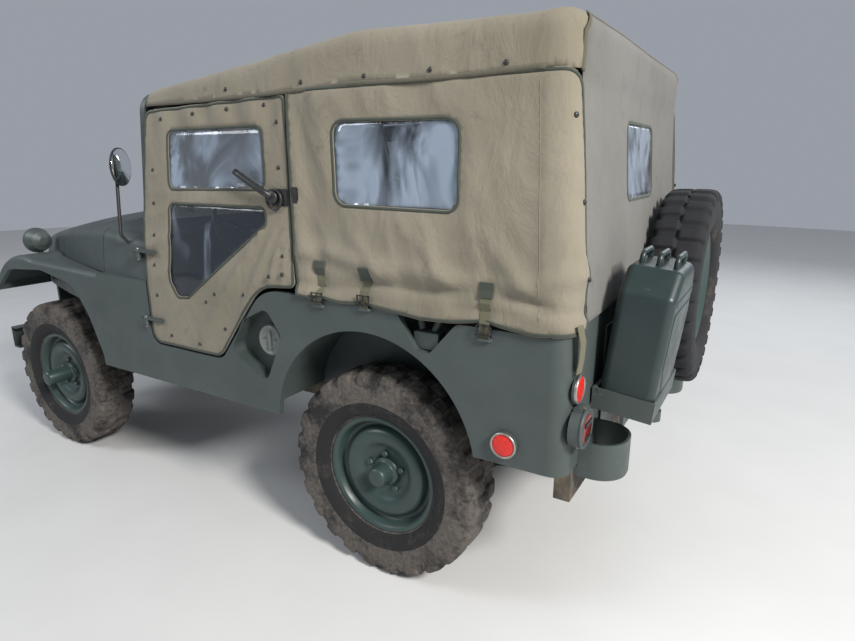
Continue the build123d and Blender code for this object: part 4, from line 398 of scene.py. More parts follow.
def rounded(corners, radii, steps=5):
    """Closed outline with each corner rounded, by one radius or one each."""
    points = []
    count = len(corners)
    for index, corner in enumerate(corners):
        here = Vector(corner)
        radius = radii if isinstance(radii, float) else radii[index]
        if radius == 0.0:
            points.append(here)
            continue
        back = (Vector(corners[index - 1]) - here).normalized()
        ahead = (Vector(corners[(index + 1) % count]) - here).normalized()
        half = back.angle(ahead) / 2.0
        middle = here + (back + ahead).normalized() * radius / math.sin(half)
        start = here + back * radius / math.tan(half) - middle
        sign = 1.0 if back.x * ahead.y - back.y * ahead.x < 0.0 else -1.0
        for step in range(steps + 1):
            angle = sign * (math.pi - 2.0 * half) * step / steps
            cos_a, sin_a = math.cos(angle), math.sin(angle)
            points.append(middle + Vector((start.x * cos_a - start.y * sin_a, start.x * sin_a + start.y * cos_a)))
    return points


def resampled(points, step, closed=True):
    """Outline with points at nearly equal distances, its own corners kept."""
    ends = points[1:] + points[:1] if closed else points[1:]
    out = []
    for start, end in zip(points, ends):
        start, end = Vector(start), Vector(end)
        count = max(1, round((end - start).length / step))
        out.extend(start.lerp(end, index / count) for index in range(count))
    if not closed:
        out.append(Vector(points[-1]))
    return out


def signed_area(ring):
    """Area of a closed outline, above 0 where it runs anticlockwise."""
    return 0.5 * sum(ring[i - 1][0] * ring[i][1] - ring[i][0] * ring[i - 1][1] for i in range(len(ring)))


def cut_area(outer, holes=()):
    """Flat area of a cut with holes, in square metres."""
    return abs(signed_area(outer)) - sum(abs(signed_area(hole)) for hole in holes)


def inset(points, distance):
    """Closed outline moved inwards by a distance."""
    reach = math.copysign(distance, distance * signed_area(points))
    out = []
    for index, here in enumerate(points):
        here = Vector(here)
        a = here - Vector(points[index - 1])
        b = Vector(points[(index + 1) % len(points)]) - here
        way = (a.normalized() + b.normalized()).normalized() if min(a.length, b.length) > 1e-9 else (a + b).normalized()
        out.append(here + Vector((-way.y, way.x)) * reach)
    return out


def inside(point, ring):
    """True if a point lies in a closed outline."""
    odd = False
    for index, here in enumerate(ring):
        last = ring[index - 1]
        if (here[1] > point[1]) != (last[1] > point[1]):
            cross = (last[0] - here[0]) * (point[1] - here[1]) / (last[1] - here[1]) + here[0]
            if point[0] < cross:
                odd = not odd
    return odd


def flat_mesh(outer, holes, step):
    """Points and triangles of a flat cut with holes, and each point's distance from an edge."""
    rings = [resampled(ring, step) for ring in (outer, *holes)]
    edge_points = [point for ring in rings for point in ring]
    edges = []
    for ring in rings:
        base = len(edges)
        edges.extend((base + index, base + (index + 1) % len(ring)) for index in range(len(ring)))
    border = np.array([tuple(point) for point in edge_points])

    def distances(points):
        return np.min(np.hypot(*(points[:, None, axis] - border[None, :, axis] for axis in (0, 1))), axis=1)

    def in_cut(point):
        return inside(point, rings[0]) and not any(inside(point, hole) for hole in rings[1:])

    low, high = border.min(0), border.max(0)
    # rows of points, every other one shifted, for triangles of nearly equal sides
    row_step = 0.87 * step
    inner = []
    for row in range(int((high[1] - low[1]) / row_step) + 1):
        shift = 0.5 * step if row % 2 else 0.0
        for column in range(int((high[0] - low[0]) / step) + 1):
            inner.append((low[0] + shift + column * step, low[1] + row * row_step))
    inner = np.array(inner)
    inner = inner[distances(inner) > 0.6 * step]
    points = edge_points + [Vector(point) for point in inner if in_cut(point)]
    verts, _, faces, *_ = delaunay_2d_cdt(points, edges, [], 0, 1e-5)
    kept = [tuple(face) for face in faces
            if in_cut(sum((Vector(verts[index]) for index in face), Vector((0.0, 0.0))) / len(face))]
    return verts, kept, distances(np.array([tuple(vert) for vert in verts]))


def smooth(value, low, high):
    """0 below low, 1 above high and an even turn between them."""
    share = min(1.0, max(0.0, (value - low) / (high - low)))
    return share * share * (3.0 - 2.0 * share)


def hump(value, width):
    """1 at zero, falling to nothing at about twice the width."""
    return math.exp(-(value / width) ** 2)


def cloth(name, outer, holes, place, relief, mat, body, thickness=CLOTH_T, step=CLOTH_STEP):
    """Closed cloth of even thickness: place(u, v, out) is its form and relief(u, v) its folds."""
    points, faces, far = flat_mesh(outer, holes, step)
    verts = []
    for depth in (0.0, thickness):
        for (u, v), distance in zip(points, far):
            calm = EDGE_CALM + (1.0 - EDGE_CALM) * smooth(distance, 0.0, EDGE_REACH)
            verts.append(place(u, v, relief(u, v) * calm - depth))
    count = len(points)
    uses = {}
    for face in faces:
        for index, here in enumerate(face):
            ends = (here, face[(index + 1) % len(face)])
            uses.setdefault(tuple(sorted(ends)), []).append(ends)
    sides = [(a, b, b + count, a + count) for found in uses.values() if len(found) == 1 for a, b in found]
    back = [tuple(index + count for index in reversed(face)) for face in faces]
    obj = finish_mesh(name, verts, faces + back + sides, mat, body)
    return obj


def strip(name, line, place, relief, width, height, mat, body="car", closed=True, step=0.012, calm=0.5):
    """Raised binding sewn along a line of the pattern."""
    line = resampled(line, step, closed)
    # share of the half-width, share of the height
    section = ((-1.0, -0.3), (-0.8, 0.7), (0.0, 1.0), (0.8, 0.7), (1.0, -0.3))
    verts = []
    for here, way in zip(line, ways(line, closed)):
        side = Vector((-way.y, way.x))
        for share, rise in section:
            at = here + side * (0.5 * width * share)
            verts.append(place(at.x, at.y, relief(at.x, at.y) * calm + height * rise))
    return finish_mesh(name, verts, band_faces(len(line), len(section), closed), mat, body)


def folds(u, v, seed, swell, crease, tilt=0.0):
    """Soft folds: broad swells, long creases along the tilted height and small puckers."""
    slant = u + tilt * v
    broad = noise.noise(Vector((2.0 * u + seed, 1.6 * v, seed)))
    long_fold = noise.noise(Vector((7.0 * slant, 1.5 * v, seed + 11.0)))
    ridge = max(0.0, 1.0 - 4.0 * abs(long_fold)) ** 2
    small = noise.noise(Vector((15.0 * u, 13.0 * v, seed + 5.0)))
    return swell * broad + crease * (0.8 * long_fold + 0.5 * ridge) + 0.18 * crease * small


def rise_at(z):
    """Share of the way from the foot of the curtains to their top."""
    return (z - FOOT_Z) / (TOP_Z - FOOT_Z)


def curtain_place(side):
    """Form of a side curtain: u runs rearwards from the start of the rear corner, v is the height."""
    def place(u, v, out):
        rise = rise_at(v)
        # the foot stands out over the body's rail
        out += 0.009 * smooth(FOOT_Z + 0.030 - v, 0.0, 0.030)
        turn = min(max(u / CORNER_R, 0.0), QUARTER)
        nx, ny = -math.sin(turn), math.cos(turn)
        x = REAR_X + REAR_LEAN * rise + CORNER_R + CORNER_R * nx - min(u, 0.0)
        y = FOOT_HALF - CURTAIN_LEAN * rise - CORNER_R + CORNER_R * ny - max(0.0, u - CORNER_R * QUARTER)
        return Vector((x + nx * out, side * (y + ny * out), v))
    return place


def curtain_u(x, z):
    """Pattern distance of a point on the side, from its X and height."""
    return REAR_X + REAR_LEAN * rise_at(z) + CORNER_R - x


# X, height of the strap's top, height of its foot
STRAPS = ((-0.680, 1.128, 1.000), (-0.872, 1.122, 1.012), (-1.294, 1.118, 0.976))


def curtain_relief(u, v):
    """Folds of a side curtain: pulled down by its straps, slack along the foot and the front."""
    wander = 0.022 * math.sin(6.0 * u) + 0.012 * math.sin(15.0 * u + 1.0)
    slack = (0.013 * hump(v - 1.150 - wander, 0.026) - 0.010 * hump(v - 1.088 + wander, 0.016)
             + 0.008 * hump(v - 1.062 + 0.5 * wander, 0.014))
    upright = math.sin(30.0 * u + 3.0 * v) * smooth(-u, 0.70, 0.90)
    seam = hump(u + 0.045 - 0.02 * v, 0.012)
    ridges = (1.0 - abs(math.sin(13.0 * (u + 0.9 * (v - 1.05))))) ** 2
    drape = ridges * smooth(1.32 - v, 0.0, 0.18) * smooth(v, 1.09, 1.13)
    pulls = sum(hump(u - curtain_u(x, v), 0.030) * smooth(top + 0.16 - v, 0.0, 0.16) for x, top, _ in STRAPS)
    sweep = hump(v - 1.30 - 0.55 * (u + 0.45), 0.05) * smooth(-u, 0.1, 0.3) * smooth(0.62 + u, 0.0, 0.2)
    return (0.005 + folds(u, v, 3.0, 0.010, 0.008, 0.3) + slack + 0.011 * upright + 0.004 * seam - 0.007 * pulls
            + 0.008 * sweep + 0.012 * drape)


DOOR_OUTER = 0.758
# where the latch holds the door's cloth, and the direction of its folds from there
LATCH_PULL = (-0.50, 1.33)
PULL_WAY = (0.66, -0.75)


def door_y(z):
    """Distance of a door's cloth from the middle of the car."""
    return DOOR_OUTER - CURTAIN_LEAN * max(0.0, rise_at(z))


def door_place(side):
    """Form of a door's outer cloth: u is X and v the height."""
    return lambda u, v, out: Vector((u, side * (door_y(v) + out), v))


def door_relief(u, v):
    """Folds of a door: a fan from the latch to the lower front, and short ones under the top edge."""
    du, dv = u - LATCH_PULL[0], v - LATCH_PULL[1]
    along = du * PULL_WAY[0] + dv * PULL_WAY[1]
    fan = (dv * PULL_WAY[0] - du * PULL_WAY[1]) / (0.12 + max(0.0, along))
    ridge = 1.0 - abs(math.sin(16.0 * fan + 0.4))
    pull = ridge ** 1.6 * hump(fan, 0.75) * smooth(along, 0.02, 0.14) * smooth(0.85 - along, 0.0, 0.3)
    hang = math.sin(40.0 * u + 6.0 * v) * smooth(v, 1.52, 1.64)
    return 0.003 + folds(u, v, 8.0, 0.0045, 0.0050, 0.5) + 0.0175 * pull + 0.0080 * hang


# radius of the rear cloth's turn over the roof's corner
OVER_R = 0.080


def rear_place(u, v, out):
    """Form of the rear curtain: u is Y and v the height, and above the roof's edge the way over it."""
    x = REAR_X + REAR_LEAN * min(1.0, rise_at(v))
    corner = max(0.0, min(abs(u) - ROOF_HALF + ROOF_R + ROOF_PLAN_R, OVER_R - 0.001))
    back = ROOF_REAR - 0.006 + OVER_R - math.sqrt(OVER_R ** 2 - corner ** 2)
    x += (back - x) * smooth(v, 1.64, 1.71)
    turn = max(0.0, (v - ROOF_EDGE_Z) / ROOF_R)
    z = min(v, ROOF_EDGE_Z) + (ROOF_R + out) * math.sin(turn)
    return Vector((x + ROOF_R * (1.0 - math.cos(turn)) - out * math.cos(turn), u, z))


def rear_relief(u, v):
    """Folds of the rear curtain, taut at the top and slack at the foot."""
    return 0.002 + folds(u, v, 21.0, 0.007, 0.0035 + 0.004 * smooth(1.30 - v, 0.0, 0.25), 0.1)


# X and height of the roof's ridge line
ROOF_LINE = ((ROOF_REAR, ROOF_REAR_Z), (BOW_X, ROOF_TOP), (ROOF_FRONT, 1.7355))
SAG = 0.007
# corners of the flat top, inside its turned edge
TOP_REAR, TOP_FRONT = ROOF_REAR + ROOF_R + ROOF_PLAN_R, ROOF_FRONT - ROOF_R - ROOF_PLAN_R
TOP_HALF = ROOF_HALF - ROOF_R - ROOF_PLAN_R


def roof_z(x):
    """Height of the roof along its middle, sagging a little between what carries it."""
    rear, bow, front = ROOF_LINE
    (x0, z0), (x1, z1) = (rear, bow) if x <= BOW_X else (bow, front)
    share = min(1.0, max(0.0, (x - x0) / (x1 - x0)))
    return z0 + (z1 - z0) * share - SAG * math.sin(math.pi * share)


def roof_place(u, v, out):
    """Form of the roof: u is X and v is Y on the flat top, and the cloth turns down all round it."""
    core = Vector((min(max(u, TOP_REAR), TOP_FRONT), min(max(v, -TOP_HALF), TOP_HALF)))
    away = Vector((u, v)) - core
    beyond = away.length - ROOF_PLAN_R
    if beyond <= 0.0:
        return Vector((u, v, roof_z(u) + out))
    way = away.normalized()
    turn = min(beyond / ROOF_R, QUARTER)
    flat = core + way * ROOF_PLAN_R + way * (ROOF_R * math.sin(turn))
    drop = max(0.0, beyond - ROOF_R * QUARTER)
    z = roof_z(min(max(flat.x, ROOF_REAR), ROOF_FRONT)) - ROOF_R * (1.0 - math.cos(turn)) - drop
    # the sides flare out towards the hem
    flat += way * (0.075 * drop * abs(way.y) + out * math.sin(turn))
    return Vector((flat.x, flat.y, z + out * math.cos(turn)))


def roof_outline():
    """Pattern of the roof, with its hem at an even height all round."""
    points = []
    # corner X, corner Y, first angle
    for x, y, start in ((TOP_FRONT, TOP_HALF, 0.0), (TOP_REAR, TOP_HALF, 90.0),
                        (TOP_REAR, -TOP_HALF, 180.0), (TOP_FRONT, -TOP_HALF, 270.0)):
        for step in range(7):
            angle = math.radians(start + 15.0 * step)
            way = Vector((math.cos(angle), math.sin(angle)))
            edge_x = x + way.x * (ROOF_PLAN_R + ROOF_R)
            fall = roof_z(edge_x) - ROOF_HEM + FRONT_DROP * smooth(edge_x, -0.5, 0.1)
            beyond = ROOF_R * QUARTER + fall - ROOF_R if fall > ROOF_R else ROOF_R * math.acos(1.0 - fall / ROOF_R)
            points.append(Vector((x, y)) + way * (ROOF_PLAN_R + beyond))
    # one more point on each side, at the bow
    reach = TOP_HALF + ROOF_PLAN_R + ROOF_R * QUARTER + roof_z(BOW_X) - ROOF_R - ROOF_HEM
    return points[:7] + [Vector((BOW_X, reach))] + points[7:21] + [Vector((BOW_X, -reach))] + points[21:]


def roof_relief(u, v):
    """Folds of the roof: nearly taut on top, soft along the sides."""
    return 0.001 + folds(u, v, 33.0, 0.0045, 0.0025 + 0.0035 * smooth(abs(v), 0.60, 0.75))


SNAP_R = 0.0075
SNAP_H = 0.0045


def snap(name, at, way, body):
    """Domed black fastener on the cloth."""
    turn = Vector(way).to_track_quat("Z", "Y")
    # share of the radius, share of the height
    rows = ((1.0, -0.4), (1.0, 0.25), (0.78, 0.62), (0.42, 0.92))
    round_steps = circle(14)
    verts = [at + turn @ Vector((SNAP_R * share * cos_a, SNAP_R * share * sin_a, SNAP_H * rise))
             for share, rise in rows for cos_a, sin_a in round_steps]
    verts.append(at + turn @ Vector((0.0, 0.0, SNAP_H)))
    count = len(round_steps)
    faces = band_faces(len(rows), count, False)[:-1]
    top = len(verts) - 1
    faces += [(top - count + k, top - count + (k + 1) % count, top) for k in range(count)]
    return finish_mesh(name, verts, faces, black, body)


def snaps_on(prefix, places, place, relief, body="car"):
    """Fasteners at places of a pattern."""
    made = []
    for index, (u, v) in enumerate(places):
        here = place(u, v, relief(u, v))
        made.append(snap(f"{prefix}_{index + 1}", here, place(u, v, relief(u, v) + 0.01) - here, body))
    return made

# Top and doors

BODY_Y = 0.7605
BIND_W = 0.0095
HEM_SNAP = 0.022
# X of the fasteners along the roof's hem
HEM_SNAPS = (-0.25, -0.60, -0.85, -1.08, -1.31)


def canopy():
    """Roof cloth as one curved sheet, with its bound hem and fasteners."""
    outer = roof_outline()
    roof = cloth("roof_cloth", outer, [], roof_place, roof_relief, canvas, "car", step=0.022)
    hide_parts("roof_canvas")
    bound = inset(outer, 0.005)
    # from the left rear corner round the front to the right rear corner
    bound = bound[8::-1] + bound[:20:-1]
    hem = strip("roof_hem", bound, roof_place, roof_relief, 0.014, 0.0026, hem_cloth, closed=False, step=0.02)
    places = []
    for x in HEM_SNAPS:
        edge = ROOF_HALF - ROOF_R + ROOF_R * QUARTER + roof_z(x) - ROOF_R - ROOF_HEM - HEM_SNAP
        places += [(x, edge), (x, -edge)]
    fasteners = snaps_on("roof_snap", places, roof_place, roof_relief)
    cut_area(outer)


def buckle(name, at):
    """Open steel buckle of four bars with a tongue."""
    half, tall, bar = 0.022, 0.015, 0.0018
    verts, faces = [], []
    for (x0, z0), (x1, z1) in (((-half, -tall), (half, -tall)), ((-half, tall), (half, tall)),
                               ((-half, -tall), (-half, tall)), ((half, -tall), (half, tall)),
                               ((0.0, -tall), (0.0, tall))):
        base = len(verts)
        verts += [at + Vector(((x0 if dx < 0 else x1) + dx, dy, (z0 if dz < 0 else z1) + dz))
                  for dx in (-bar, bar) for dy in (-bar, bar) for dz in (-bar, bar)]
        faces += [tuple(base + k for k in face) for face in (
            (0, 1, 3, 2), (4, 6, 7, 5), (0, 4, 5, 1), (2, 3, 7, 6), (0, 2, 6, 4), (1, 5, 7, 3))]
    return finish_mesh(name, verts, faces, black, "car", flat=True)


def strap(name, side, x, top, foot):
    """Hold-down strap with its stitched patch, buckle and foot loop."""
    def on_cloth(z, out):
        u = curtain_u(x, z)
        return curtain_place(side)(u, z, curtain_relief(u, z) + out)

    def on_body(along, out, z):
        return Vector((x + along, side * (BODY_Y + out), z))

    start = top + 0.012
    path = [on_cloth(start - (start - FOOT_Z) * step / 8.0, 0.003) for step in range(9)]
    path += [on_body(0.0, 0.010, FOOT_Z - 0.012), on_body(0.0, 0.006, foot)]
    patch = [on_cloth(z, 0.0055) for z in (top + 0.022, top, top - 0.022)]
    loop = [on_body(along, out, foot) for along, out in ((-0.021, 0.0), (-0.017, 0.010), (0.017, 0.010), (0.021, 0.0))]
    return [ribbon(f"{name}_web", path, (1, 0, 0), 0.032, 0.0024, webbing),
            ribbon(f"{name}_patch", patch, (1, 0, 0), 0.043, 0.003, binding),
            buckle(f"{name}_buckle", on_body(0.0, 0.013, foot + 0.030)),
            ribbon(f"{name}_loop", loop, (0, 0, 1), 0.008, 0.003, paint)]


# window outlines on their patterns
SIDE_WINDOW = rounded([(curtain_u(x, z), z) for x, z in (
    (-0.729, 1.584), (-1.174, 1.576), (-1.186, 1.330), (-0.748, 1.336))], 0.038)
REAR_WINDOW = rounded([(-0.190, 1.3445), (0.190, 1.3445), (0.190, 1.5795), (-0.190, 1.5795)], 0.032)
# X and height of a side curtain's upper front corner
CURTAIN_FRONT_TOP = (-0.529, TOP_Z - 0.001)
FLAP_SNAPS = ((0.055, 1.576), (0.086, 1.361), (0.100, 1.160))
# X along the foot, drop below the body's rail
FOOT_LINE = ((-0.584, 0.004), (-0.640, 0.010), (-0.690, 0.005), (-0.775, 0.012), (-0.872, 0.005), (-0.960, 0.014),
             (-1.080, 0.026), (-1.200, 0.020), (-1.294, 0.006), (-1.370, 0.018), (-1.440, 0.024), (-1.480, 0.020))


def side_curtain(side, word):
    """One side curtain, wrapped round the rear corner, with its binding, straps and fasteners."""
    place = curtain_place(side)
    rear_foot = CORNER_R * QUARTER + FOOT_HALF - CORNER_R - FLAP_Y
    rear_top = CORNER_R * math.acos(max(-1.0, (FLAP_Y - FOOT_HALF + CURTAIN_LEAN + CORNER_R) / CORNER_R))
    x1, z1 = CURTAIN_FRONT_TOP
    foot = [Vector((curtain_u(x, FOOT_Z), FOOT_Z - drop)) for x, drop in FOOT_LINE]
    corners = [foot[-1], Vector((rear_foot, FOOT_Z - 0.012)), Vector((rear_top, z1)), Vector((curtain_u(x1, z1), z1))]
    # only the two rear corners are round
    outer = foot[:-1] + rounded(corners, 0.055)[6:18] + [corners[3]]
    body = cloth(f"side_curtain_{word}", outer, [SIDE_WINDOW], place, curtain_relief, canvas, "car")
    edge = strip(f"side_curtain_edge_{word}", inset(outer, 0.006), place, curtain_relief, BIND_W, 0.003, binding)
    frame_strip = strip(f"side_window_edge_{word}", inset(SIDE_WINDOW, -0.006), place, curtain_relief, 0.010, 0.0028,
                        binding)
    fasteners = snaps_on(f"flap_snap_{word}", FLAP_SNAPS, place, curtain_relief)
    straps = [piece for index, row in enumerate(STRAPS) for piece in strap(f"strap_{word}_{index + 1}", side, *row)]
    seam = strip(f"corner_seam_{word}", [(-0.035, FOOT_Z + 0.02), (-0.030, 1.66)], place, curtain_relief, 0.004, 0.0008,
                 canvas, closed=False, calm=1.0)
    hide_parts("side_curtains")
    cut_area(outer, [SIDE_WINDOW])


def rear_curtain():
    """Rear curtain with its bound pane."""
    half = FLAP_Y - 0.002
    side_line = [(half, TOP_Z - 0.010), (half, ROOF_EDGE_Z - 0.010), (half - 0.040, ROOF_EDGE_Z + 0.9 * ROOF_R)]
    over = side_line + [(-y, z) for y, z in reversed(side_line)]
    outer = [(-half, FOOT_Z + 0.002), (half, FOOT_Z + 0.002), *over]
    body = cloth("rear_curtain_cloth", outer, [REAR_WINDOW], rear_place, rear_relief, rear_canvas, "car")
    edge = strip("rear_window_edge", inset(REAR_WINDOW, -0.006), rear_place, rear_relief, 0.010, 0.0028, binding)
    top_edge = strip("rear_top_edge", over, rear_place, rear_relief, 0.013, 0.0026, hem_cloth, closed=False)
    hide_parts("rear_curtain")
    cut_area(outer, [REAR_WINDOW])


DOOR_OUTLINE = rounded(
    [(0.260, 0.731), (-0.159, 0.731), (-0.404, 1.034), (-0.574, 1.047), (-0.524, 1.681), (0.220, 1.661),
     (0.260, 1.165)], (0.054, 0.076, 0.150, 0.025, 0.025, 0.040, 0.0), 8)
DOOR_PANES = [
    rounded([(0.079, 1.580), (-0.410, 1.580), (-0.428, 1.378), (0.082, 1.370)], 0.026),
    rounded([(0.083, 1.309), (-0.428, 1.309), (-0.433, 1.259), (-0.005, 0.956), (0.065, 0.947), (0.099, 1.005)], 0.024)]
DOOR_SNAPS = (
    (0.108, 1.625), (-0.072, 1.637), (-0.249, 1.645), (-0.425, 1.651), (-0.488, 1.594), (-0.495, 1.447), (0.176, 1.438),
    (0.180, 1.310), (0.188, 1.184), (0.192, 1.064), (0.196, 0.939), (0.134, 0.775), (-0.046, 0.768), (-0.196, 0.849),
    (-0.317, 0.996), (-0.158, 0.982), (-0.101, 0.944), (-0.461, 1.079), (-0.523, 1.092), (-0.519, 1.153))
# the tube frame lies behind the cloth
FRAME_BACK = -0.0095
FRAME_R = 0.0062
HINGE_X = 0.276
HINGE_Y = 0.772
HINGE_Z = (0.8263, 1.1113)


def soft_door(side, word):
    """Soft door: cloth on a bent tube frame, with bindings, fasteners, latch and hinge arms."""
    body = f"{word}_door"
    place = door_place(side)
    skin = cloth(f"door_cloth_{word}", DOOR_OUTLINE, DOOR_PANES, place, door_relief, canvas, body)
    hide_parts(f"door_{word}")
    lines = {f"door_edge_{word}": (inset(DOOR_OUTLINE, 0.006), 0.003)}
    for index, pane_line in enumerate(DOOR_PANES):
        lines[f"door_pane_edge_{word}_{index + 1}"] = (inset(pane_line, -0.005), 0.0028)
    pieces = [strip(name, line, place, door_relief, BIND_W, height, binding, body)
              for name, (line, height) in lines.items()]
    pieces += snaps_on(f"door_snap_{word}", DOOR_SNAPS, place, door_relief, body)
    cut_area(DOOR_OUTLINE, DOOR_PANES)
    ring = [place(point.x, point.y, FRAME_BACK) for point in resampled(inset(DOOR_OUTLINE, 0.010), 0.02)]
    round_tube(f"door_frame_{word}", ring, FRAME_R, paint, body, True)
    bar = [place(-0.535 + 0.02 * step, 1.342, FRAME_BACK) for step in range(39)]
    round_tube(f"door_bar_{word}", bar, FRAME_R, paint, body)
    hinge_arms(side, word)
    door_latch(side, word)


def hinge_arms(side, word):
    """Arms and pins that hang a door on the body's eyes."""
    body = f"{word}_door"
    low_y, high_y = beside(side, HINGE_Y - 0.012, HINGE_Y + 0.004)
    for index, z in enumerate(HINGE_Z):
        at = (HINGE_X, side * HINGE_Y, z)
        bar_box(f"door_arm_{word}_{index + 1}", (0.168, low_y, z), (0.270, high_y, z + 0.014), paint, body)
        lathe(f"door_eye_{word}_{index + 1}", [(0.0, 0.009), (0.014, 0.009)], at, (0, 0, 1), paint, body, 20)
        pin = [(-0.032, 0.0042), (-0.030, 0.005), (0.016, 0.005), (0.018, 0.0035)]
        lathe(f"door_pin_{word}_{index + 1}", pin, at, (0, 0, 1), steel, body, 16)


def door_latch(side, word):
    """Latch plate at the door's rear edge with its turned lever, and the striker on the curtain."""
    y = door_y(1.352)
    body = f"{word}_door"
    low_y, high_y = beside(side, y + 0.004, y + 0.011)
    bar_box(f"latch_plate_{word}", (-0.545, low_y, 1.322), (-0.468, high_y, 1.378), black, body, 0.003)
    lathe(f"latch_hub_{word}", [(0.0, 0.024), (0.010, 0.024), (0.014, 0.016)], (-0.480, side * (y + 0.010), 1.350),
          (0, side, 0), black, body, 24)
    # X, distance out from the cloth, height
    lever = ((-0.480, 0.020, 1.352), (-0.440, 0.026, 1.372), (-0.415, 0.030, 1.386), (-0.350, 0.030, 1.420),
             (-0.325, 0.030, 1.434))
    round_tube(f"latch_lever_{word}", [Vector((x, side * (y + out), z)) for x, out, z in lever], 0.0115, black, body,
               segments=12)
    loop = [Vector((-0.487 + 0.034 * cos_a, side * (y + 0.016), 1.343 + 0.034 * sin_a)) for cos_a, sin_a in circle(24)]
    round_tube(f"latch_ring_{word}", loop, 0.0045, black, body, True)
    bar_box(f"latch_catch_{word}", (-0.590, low_y, 1.330), (-0.562, high_y, 1.385), black, "car", 0.003)


canopy()
for side_word, side_sign in SIDES:
    side_curtain(side_sign, side_word)
rear_curtain()
for side_word, side_sign in SIDES:
    soft_door(side_sign, side_word)

# Clear panes

PANE_T = 0.0012


def pane(name, outline, place, seed, body, replaced, flat, look=vinyl):
    """Clear vinyl pane, a little wavy, sewn in behind the cloth."""
    def waves(u, v):
        return -0.0020 + 0.0016 * noise.noise(Vector((7.0 * u, 6.0 * v, seed)))
    cut = inset(outline, -0.005)
    obj = cloth(name, cut, [], place, waves, look, body, thickness=PANE_T, step=0.02)
    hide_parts(replaced)
    cut_area(cut)


def panes():
    """Panes of the doors, the side curtains and the rear curtain."""
    curtain = ("car", "curtain_windows")
    for word, side in SIDES:
        door = (f"{word}_door", f"door_windows_{word}")
        pane(f"door_pane_{word}_1", DOOR_PANES[0], door_place(side), 2.0 + side, *door, (0.53, 0.24))
        # the lower door pane takes the darker vinyl, with less painted reflection
        pane(f"door_pane_{word}_2", DOOR_PANES[1], door_place(side), 5.0 + side, *door, (0.56, 0.39), shaded_vinyl)
        pane(f"curtain_pane_{word}", SIDE_WINDOW, curtain_place(side), 9.0 + side, *curtain, (0.48, 0.28))
    pane("rear_pane", REAR_WINDOW, rear_place, 14.0, *curtain, (0.40, 0.255))


panes()

# Seats

SEAT_GRID = 26
# share of a cushion's half height that is crown
BENCH_CROWN = 0.22
SEAT_CROWN = 0.25
BACK_PITCH = -7.0


def stuffed(name, low, high, pitch, seed, crown):
    """Crowned cushion: a plump closed form in a box, leaned by a pitch about its lower front edge."""
    half = (Vector(high) - Vector(low)) / 2.0
    middle = (Vector(low) + Vector(high)) / 2.0
    thin = min(range(3), key=lambda axis: half[axis])
    wide_u, wide_v = (axis for axis in range(3) if axis != thin)
    rows = SEAT_GRID + 1

    def spot(i, j, way):
        u, v = (math.sin((2.0 * k / SEAT_GRID - 1.0) * QUARTER) for k in (i, j))
        rim = max(abs(u), abs(v))
        reach = (abs(u) ** 9 + abs(v) ** 9) ** (1.0 / 9.0)
        # rounded corners, and sides that pull in between them
        span = (rim / reach if reach > 0.0 else 1.0) * (1.0 - 0.022 * rim ** 4 * (1.0 - min(u * u, v * v)))
        edge = max(0.0, 1.0 - rim ** 7) ** 0.42
        rise = (0.80 - crown) * edge + crown * (1.0 - u * u) * (1.0 - v * v)
        seam = 0.02 * hump(rim - 0.93, 0.03) if way > 0 else 0.0
        out = Vector((0.0, 0.0, 0.0))
        out[wide_u] = half[wide_u] * u * span
        out[wide_v] = half[wide_v] * v * span
        puckers = noise.noise(Vector((18.0 * out[wide_u], 18.0 * out[wide_v], seed)))
        out[thin] = half[thin] * way * (rise - seam) + 0.0022 * puckers * edge * (1.0 if way > 0 else 0.4)
        return out

    turn = Quaternion((0.0, 1.0, 0.0), math.radians(pitch))
    foot = Vector((high[0], 0.0, low[2]))
    verts = [foot + turn @ (middle + spot(i, j, way) - foot)
             for way in (1.0, -1.0) for i in range(rows) for j in range(rows)]
    under = rows * rows
    faces = []
    for i in range(SEAT_GRID):
        for j in range(SEAT_GRID):
            a, b, c, d = i * rows + j, (i + 1) * rows + j, (i + 1) * rows + j + 1, i * rows + j + 1
            faces += [(a, b, c, d), (under + d, under + c, under + b, under + a)]
    ring = [(i, 0) for i in range(SEAT_GRID)] + [(SEAT_GRID, j) for j in range(SEAT_GRID)]
    ring += [(SEAT_GRID - i, SEAT_GRID - j) for i, j in ring]
    for index, (i, j) in enumerate(ring):
        k, m = ring[(index + 1) % len(ring)]
        a, b = i * rows + j, k * rows + m
        faces.append((a, b, under + b, under + a))
    obj = finish_mesh(name, verts, faces, seat_cloth, "car", weld=0.0004)
    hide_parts("seat_cushions")


def seats():
    """Cushions and back pads of the front seats and the bench."""
    # name, low corner, high corner, pitch about Y, crown
    table = [("bench_cushion", (-1.430, -0.480, 0.825), (-1.075, 0.480, 0.900), 0.0, BENCH_CROWN),
             ("bench_back", (-1.4984, -0.480, 0.885), (-1.436, 0.480, 1.190), 0.0, BENCH_CROWN)]
    for word, low_y, high_y in (("driver", 0.160, 0.600), ("passenger", -0.600, -0.160)):
        table += [(f"{word}_cushion", (-0.395, low_y, 0.805), (0.005, high_y, 0.880), 0.0, SEAT_CROWN),
                  (f"{word}_back", (-0.4559, low_y, 0.892), (-0.3809, high_y, 1.262), BACK_PITCH, SEAT_CROWN)]
    for index, (name, low, high, pitch, crown) in enumerate(table):
        stuffed(name, low, high, pitch, 3.0 * index, crown)


seats()

# Tyres

TYRE_R = 0.387
TYRE_HALF_W = 0.0922
TYRE_TURNS = 528
